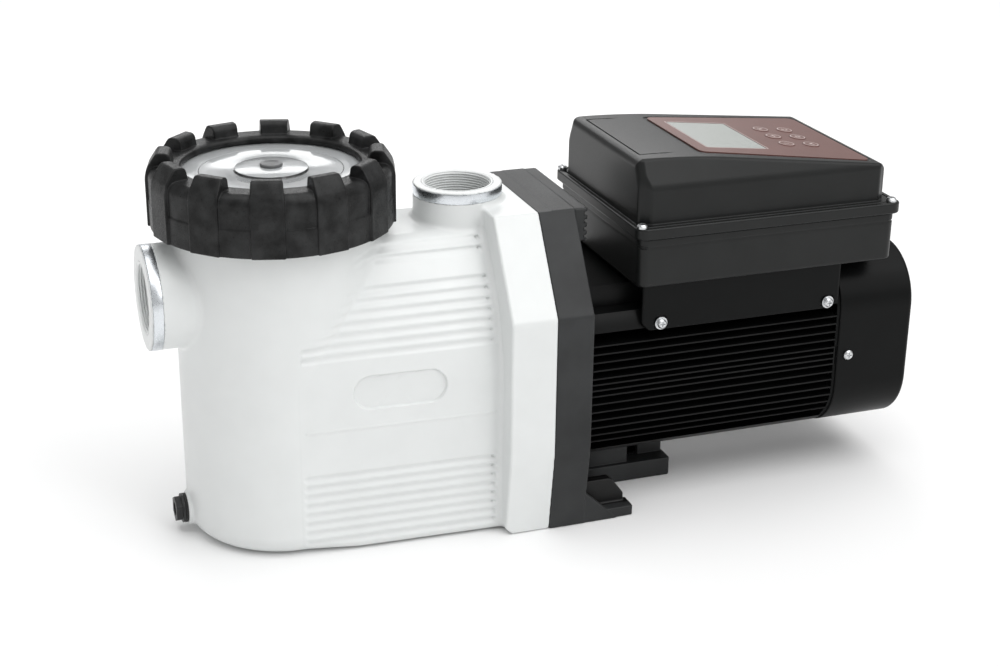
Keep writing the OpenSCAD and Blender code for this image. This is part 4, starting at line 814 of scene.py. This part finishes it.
def outline_y(z):
    """Half width of the rounded-square outline at height z."""
    top = COVER_TOP + 2
    lean = max(MOTOR_LOW + CORNER_R - z, z - top + CORNER_R, 0.0)
    return MOTOR_W - CORNER_R + math.sqrt(max(CORNER_R**2 - lean**2, 0.0))


def tube_y(z):
    """Half width of the round tube between the fins at height z."""
    return math.sqrt(max(TUBE_R**2 - (z - SHAFT_Z) ** 2, 0.0))


def motor_section():
    """Right half of the motor's cross-section, from the underside up, as (y, z)."""
    half = [(0.0, MOTOR_LOW)]
    for k in range(9):
        z = MOTOR_LOW + (SILL_TOP - MOTOR_LOW) * (k / 8) ** 2
        half.append((outline_y(z), z))
    fins = sorted([SHAFT_Z - s for s in FIN_STEPS] + [SHAFT_Z + s for s in FIN_STEPS[:6]])
    low = SILL_TOP
    for z in fins + [None]:
        top = BAND_LOW if z is None else z - FIN_T / 2
        for k in range(4):
            level = low + (top - low) * k / 3
            half.append((tube_y(level), level))
        if z is not None:
            tip = outline_y(z)
            half += [(tip - 0.5, z - 0.75), (tip, z - 0.35), (tip, z + 0.35), (tip - 0.5, z + 0.75)]
            low = top + FIN_T
    for k in range(6):
        z = BAND_LOW + (BAND_TOP - BAND_LOW) * k / 5
        half.append((outline_y(z), z))
    half += [(PLINTH_W, BAND_TOP), (PLINTH_W, PLINTH_EDGE), (PLINTH_W - 1.5, PLINTH_TOP), (0.0, PLINTH_TOP)]
    return half


half = motor_section()
shell = half + [(-y, z) for y, z in reversed(half[1:-1])]
angles = np.linspace(0, 2 * math.pi, 97)[:-1]
bore = [(STATOR_R * math.cos(a), SHAFT_Z + STATOR_R * math.sin(a)) for a in angles]
motor = drawn_out("motor_shell", [[shell, bore]], lambda y, z, x: (x * MM, y * MM, z * MM),
                  (MOTOR_X, MOTOR_END), True)
clean(motor, 30)
add_piece("motor_shell", motor, "motor_black", "pump", ["motor_housing"])

# ---------- fan cover ----------

SLOT_PITCH, SLOT_ROWS, SLOT_Y, SLOT_LEN, SLOT_HALF = 9.6, 6, 35.0, 33.0, 2.6
GRILLE_R, GRILLE_HUB_R, LIP_GAP = 58.0, 16.0, 0.3


def fan_cover(p):
    """Rounded-square shell with a lip towards the motor and rows of slots in its end."""
    x, y, z = p.T
    mid = (MOTOR_LOW + COVER_TOP) / 2
    half = (COVER_TOP - MOTOR_LOW) / 2
    outer = meet(meet(rect(y, z - mid, COVER_W, half, CORNER_R), x - COVER_END, 5), COVER_X - x, 0.8)
    within = rect(y, z - mid, COVER_W - COVER_WALL, half - COVER_WALL, CORNER_R - COVER_WALL)
    shell = cut(outer, meet(within, x - COVER_END + COVER_WALL, 3), 0.3)
    lip = meet(within, -rect(y, z - mid, COVER_W - 5, half - 5, CORNER_R - 5))
    shell = join(shell, meet(lip, slab(x, MOTOR_END + LIP_GAP, COVER_X + 3), 0.4), 0.3)
    rx = np.hypot(y, z - SHAFT_Z)
    row = np.clip(np.round((z - SHAFT_Z) / SLOT_PITCH), -SLOT_ROWS, SLOT_ROWS)
    slot = rect(np.abs(y) - SLOT_Y, z - SHAFT_Z - row * SLOT_PITCH, SLOT_LEN, SLOT_HALF, 2.2)
    slot = meet(meet(slot, meet(rx - GRILLE_R, GRILLE_HUB_R - rx)), COVER_END - 6 - x)
    return cut(shell, slot, 0.6)


moulded("fan_cowl", fan_cover, (MOTOR_END + LIP_GAP, -COVER_W, MOTOR_LOW), (COVER_END, COVER_W, COVER_TOP),
        1.0, "fan_cover", "box_grey", 90000, look=MATS["cover_black"])

# ---------- control box ----------

SKIRT_X, SKIRT_END, SKIRT_W, SKIRT_LOW, SKIRT_CUT = 306.0, 504.0, 88.5, 172.0, 7.0
SKIRT_SCREWS, SKIRT_SCREW_Z, DIMPLE_R = (324.8, 491.7), 178.5, 7.2


def adaptor(p):
    """Skirt over the motor with cut lower corners and a shallow dimple round each screw."""
    x, y, z = p.T
    side = np.abs(y)
    body = meet(meet(slab(x, SKIRT_X, SKIRT_END), side - SKIRT_W, 3), z - BOX_LOW + 0.1)
    body = meet(body, SKIRT_LOW - z, 1.0)
    corner = np.maximum(SKIRT_X + SKIRT_CUT - x, x - SKIRT_END + SKIRT_CUT)
    body = meet(body, corner + (SKIRT_LOW + 8 - z) - 8, 3)
    body = cut(body, meet(side - MOTOR_W, z - PLINTH_TOP - 0.3, 1), 0.6)
    screw = union(*(np.hypot(x - sx, z - SKIRT_SCREW_Z) for sx in SKIRT_SCREWS))
    return cut(body, meet(screw - DIMPLE_R, SKIRT_W - 0.5 - side), 0.4)


moulded("adaptor_skirt", adaptor, (SKIRT_X, -SKIRT_W, SKIRT_LOW), (SKIRT_END, SKIRT_W, BOX_LOW),
        1.0, "adaptor_frame", "box_grey", 60000, look=MATS["cover_black"])

TRAY_WALL, TRAY_LINE_Z, GLAND_X, GLAND_Z, GLAND_R = 3.0, 252.0, 350.0, 237.0, 10.1


def base_box(p):
    """Open tray with a fine line round it and the hole for the cable gland."""
    x, y, z = p.T
    mid, half = (BOX_X + BOX_END) / 2, (BOX_END - BOX_X) / 2
    outer = meet(rect(x - mid, y, half, BOX_W, 8), BOX_LOW - z, 3)
    outer = meet(outer, z - BOX_RIM, 0.6)
    line = meet(-rect(x - mid, y, half - 0.7, BOX_W - 0.7, 8), np.abs(z - TRAY_LINE_Z) - 1.0, 0.3)
    outer = cut(outer, line, 0.4)
    inner = meet(rect(x - mid, y, half - TRAY_WALL, BOX_W - TRAY_WALL, 5), BOX_LOW + TRAY_WALL - z, 2)
    hole = meet(np.hypot(x - GLAND_X, z - GLAND_Z) - GLAND_R, 80 - y)
    return cut(cut(outer, inner, 0.5), hole, 0.4)


moulded("box_tray", base_box, (BOX_X, -BOX_W, BOX_LOW), (BOX_END, BOX_W, BOX_RIM), 1.1,
        "box_base", "box_grey", 60000)

SLOPE_A = math.atan(BOX_SLOPE)
LID_SCREWS, SCREW_POCKET_R, SCREW_R = ((301.0, 92.5), (546.5, 92.5)), 10.8, 2.2
HOOD_W, FACET_W, FACET_Z = 88.0, 86.5, 303.0
HOOD_WALL, LABEL_X, LABEL_U, LABEL_V = 3.0, 330.0, 19.5, 60.0
MOUTH_X, MOUTH_U, MOUTH_V, WINDOW_HOLE_U, WINDOW_HOLE_V = 424.0, 108.0, 76.0, 26.0, 40.0


def on_slope(x, z):
    """Distance along and above the sloping top, from the middle of the display panel."""
    du, dw = x - CREASE_X, z - BOX_TOP
    along = du * math.cos(SLOPE_A) - dw * math.sin(SLOPE_A) - (DISPLAY_AT - CREASE_X) / math.cos(SLOPE_A)
    return along, du * math.sin(SLOPE_A) + dw * math.cos(SLOPE_A)


def hood(x, side, z, t):
    """Hood of the box lid shrunk by t."""
    lower = (side - HOOD_W) * 0.9989 + (z - RIM_TOP) * 0.0461 + t
    facet = (side - FACET_W) * 0.8944 + (z - FACET_Z) * 0.4472 + t
    _, above = on_slope(x, z)
    d = meet(lower, facet, 1.6)
    d = meet(d, meet(z - BOX_TOP + t, above + t, 4), 2.4)
    ends = np.maximum(LID_X + t - x, x - LID_END + t)
    d = meet(d, ends, 8)
    for sx, sy in LID_SCREWS:
        d = cut(d, np.hypot(x - sx, side - sy) - SCREW_POCKET_R - t, 2.6)
    return d


def lid_shell(p):
    """Hollow hood on a rim, with the display recess, its cut-outs and the fine lines on top."""
    x, y, z = p.T
    side = np.abs(y)
    mid, half = (RIM_X + RIM_END) / 2, (RIM_END - RIM_X) / 2
    flange = meet(rect(x - mid, y, half, RIM_W, 9), slab(z, BOX_RIM + 1.25, RIM_TOP), 1.6)
    lip = meet(-rect(x - mid, y, half - 6.2, RIM_W - 6.2, 6), rect(x - mid, y, half - 4.6, RIM_W - 4.6, 6))
    flange = cut(flange, meet(lip, RIM_TOP - 1.0 - z), 0.3)
    body = join(flange, meet(hood(x, side, z, 0), RIM_TOP - 4 - z), 0.8)
    along, above = on_slope(x, z)
    inner = hood(x, side, z, HOOD_WALL)
    # the hollow narrows below to a mouth with straight sides
    void = union(meet(inner, 262 - z), rect(x - MOUTH_X, y, MOUTH_U, MOUTH_V, 5))
    void = np.where(z > 266, inner, void)
    width = DISPLAY_V - DISPLAY_SKEW + (along + DISPLAY_U) / (2 * DISPLAY_U) * 2 * DISPLAY_SKEW
    outline = rect(along, side / width * DISPLAY_V, DISPLAY_U, DISPLAY_V, DISPLAY_ROUND)
    recess = meet(outline - 0.3, -above - 1.05)
    cutout = meet(rect(along - WINDOW_U, y, WINDOW_HOLE_U, WINDOW_HOLE_V, 1), -above - 8)
    col = np.where(along < KEY_U + KEY_PITCH / 2, KEY_U, KEY_U + KEY_PITCH)
    row = np.clip(np.round(y / KEY_PITCH), -1, 1) * KEY_PITCH
    keys = meet(np.hypot(along - col, y - row) - KEY_R, -above - 8)
    label_line = np.abs(rect(x - LABEL_X, y, LABEL_U, LABEL_V, 1.5)) - 0.6
    label = meet(label_line, BOX_TOP - 1.0 - z)
    edge_line = meet(np.abs(outline - 0.3) - 0.5, -above - 0.6)
    body = cut(body, union(void, recess, cutout, keys), 0.3)
    body = cut(body, union(label, edge_line), 0.15)
    return cut(body, union(*(np.hypot(x - sx, side - sy) for sx, sy in LID_SCREWS)) - SCREW_R, 0.2)


moulded("lid_shell", lid_shell, (RIM_X, -RIM_W, BOX_RIM + 1.2), (RIM_END, RIM_W, BOX_TOP),
        0.9, "box_lid", "box_grey", 190000)

# ---------- display panel and keys ----------


def on_panel(along, y, above):
    """Point in metres on the sloping display face."""
    x = DISPLAY_AT + along * math.cos(SLOPE_A) + above * math.sin(SLOPE_A)
    z = BOX_TOP - (DISPLAY_AT - CREASE_X) * BOX_SLOPE - along * math.sin(SLOPE_A) + above * math.cos(SLOPE_A)
    return Vector((x, y, z)) * MM


def arc(cu, cv, r, a0, a1, steps):
    """Points along an arc about (cu, cv) from a0 to a1 degrees."""
    return [(cu + r * math.cos(math.radians(a0 + (a1 - a0) * i / steps)),
             cv + r * math.sin(math.radians(a0 + (a1 - a0) * i / steps))) for i in range(steps + 1)]


def circle(cu, cv, r, steps=40):
    """Points round a circle about (cu, cv)."""
    return arc(cu, cv, r, 0, 360 * (1 - 1 / steps), steps - 1)


def round_rect(hu, hv, r, cu=0.0, cv=0.0, skew=0.0):
    """Rounded rectangle whose half width grows by skew along u."""
    points = []
    for su, sv, a in ((1, 1, 0), (-1, 1, 90), (-1, -1, 180), (1, -1, 270)):
        points += arc(cu + su * (hu - r), cv + sv * (hv - r + su * skew), r, a, a + 90, 8)
    return points


def printed(name, shapes, low, high, slot, body="pump", nodes=(), look=PRINT, at=(0.0, 0.0)):
    """Thin flat piece on the display face."""
    mesh = drawn_out(name, shapes, lambda u, v, level: on_panel(at[0] + u, at[1] + v, level), (low, high))
    shade(mesh, 40)
    add_piece(name, mesh, slot, body, nodes, look)


KEYS = [(KEY_U + KEY_PITCH * (i // 3), KEY_PITCH * (i % 3 - 1)) for i in range(6)]
FILM_EDGE = 1.9
film = [round_rect(DISPLAY_U - FILM_EDGE, DISPLAY_V - FILM_EDGE, DISPLAY_ROUND, skew=DISPLAY_SKEW)]
film.append(round_rect(30.1, 44.1, 1.2, WINDOW_U, 0))
film += [circle(u, v, KEY_R + 0.05) for u, v in KEYS]
printed("panel_film", [film], -1.0, 0.3, "panel_red", nodes=["display_panel"], look=None)
window_frame = [round_rect(31.6, 45.6, 2.4, WINDOW_U, 0), round_rect(30.9, 44.9, 1.8, WINDOW_U, 0)]
printed("window_line", [window_frame], 0.28, 0.36, "window_grey")
BAR = [(-3, -0.5), (3, -0.5), (3, 0.5), (-3, 0.5)]
PLUS = [(-0.5, -3), (0.5, -3), (0.5, -0.5), (3, -0.5), (3, 0.5), (0.5, 0.5),
        (0.5, 3), (-0.5, 3), (-0.5, 0.5), (-3, 0.5), (-3, -0.5), (-0.5, -0.5)]
CHEVRON = [(-2.6, -3), (2.6, 0), (-2.6, 3), (-2.6, 1.6), (0.3, 0), (-2.6, -1.6)]
BACK = [(-u, v) for u, v in CHEVRON]
SQUARE = [round_rect(2.4, 2.4, 0.4), round_rect(1.5, 1.5, 0.2)]
OPEN_RING = arc(0, 0, 3.0, -230, 50, 16) + arc(0, 0, 2.1, 50, -230, 16)
DASH = [(-3.4, -0.4), (-0.6, -0.4), (-0.6, 0.4), (-3.4, 0.4)]
SIGNS = [[[BAR]], [[PLUS]], [[CHEVRON]], [[BACK]], [SQUARE], [[OPEN_RING], [DASH]]]
for i, (u, v) in enumerate(KEYS):
    shapes = [[circle(0, 0, 7.0), circle(0, 0, 6.3)]] + SIGNS[i]
    key = "key_%d" % (i + 1)
    printed(key + "_mark", shapes, 0.98, 1.08, "window_grey", key, at=(u, v))

# CAD nodes with small rounded edges, in millimetres
for node, width in (
    ("drain_plug", 0.7), ("casing_bolts", 0.5), ("shield_bolts", 0.4), ("fan_cover_screws", 0.35),
    ("adaptor_screws", 0.3), ("box_lid_screws", 0.35), ("gland_body", 0.5), ("gland_nut", 0.5),
    ("display_window", 0.15), *[("button_%d" % (i + 1), 0.2) for i in range(6)],
):
    soften(node, width)

# ---------- camera, floor and light ----------

PHOTO_WIDTH, FOCAL_PX, SENSOR = 1000.0, 1787.917, 36.0
azimuth, elevation, roll = (math.radians(v) for v in (-20.113, 21.985, 0.664))
reach = math.cos(elevation)
back = Vector((math.sin(azimuth) * reach, -math.cos(azimuth) * reach, math.sin(elevation)))
right = Vector((math.cos(azimuth), math.sin(azimuth), 0))
up = back.cross(right)
turned_right = math.cos(roll) * right + math.sin(roll) * up
turned_up = -math.sin(roll) * right + math.cos(roll) * up
lens = bpy.data.cameras.new("camera")
lens.sensor_width = SENSOR
lens.lens = FOCAL_PX / PHOTO_WIDTH * SENSOR
lens.clip_end = 50
camera = in_scene("camera", lens)
facing = Matrix((turned_right, turned_up, back)).transposed().to_4x4()
camera.matrix_world = Matrix.Translation((-0.3139, -1.4195, 0.7603)) @ facing
scene.camera = camera

floor_bm = bmesh.new()
bmesh.ops.create_grid(floor_bm, x_segments=2, y_segments=2, size=12)
floor_mesh = bpy.data.meshes.new("floor")
floor_bm.to_mesh(floor_mesh)
floor_bm.free()
floor = in_scene("floor", floor_mesh)
floor.location = (0.2, 0, -0.0004)
floor_white = material("floor_white", (0.93, 0.93, 0.93), 0.6, tint=0.004, tint_scale=2.0,
                       grain_depth=0, specular=0.15)
floor_mesh.materials.append(floor_white)


def softbox(name, place, target, size, power):
    """Rectangular lamp aimed at a point."""
    lamp = bpy.data.lights.new(name, "AREA")
    lamp.shape = "RECTANGLE"
    lamp.size, lamp.size_y = size
    lamp.energy = power
    holder = in_scene(name, lamp)
    holder.location = place
    holder.rotation_euler = (Vector(target) - Vector(place)).to_track_quat("-Z", "Y").to_euler()


def skylight(name, direction, angle, strength):
    """Broad far light that falls evenly on the object and on all of the floor."""
    lamp = bpy.data.lights.new(name, "SUN")
    lamp.angle = math.radians(angle)
    lamp.energy = strength
    holder = in_scene(name, lamp)
    holder.rotation_euler = Vector(direction).to_track_quat("-Z", "Y").to_euler()


skylight("overhead", (-0.1, 0.15, -1.0), 70, 1.7)
skylight("front_right", (-0.75, 0.75, -0.75), 50, 0.54)
skylight("left_fill", (0.85, 0.5, -0.35), 60, 0.08)
softbox("strip", (0.9, -1.7, 1.5), (0.2, 0, 0.2), (0.5, 1.2), 5)
softbox("rim", (0.6, 1.8, 1.2), (0.2, 0, 0.25), (1.6, 0.5), 8)

world = bpy.data.worlds.new("studio")
scene.world = world
world.use_nodes = True
world.node_tree.nodes["Background"].inputs["Color"].default_value = (1, 1, 1, 1)
world.node_tree.nodes["Background"].inputs["Strength"].default_value = 0.46
scene.view_settings.view_transform = "Standard"
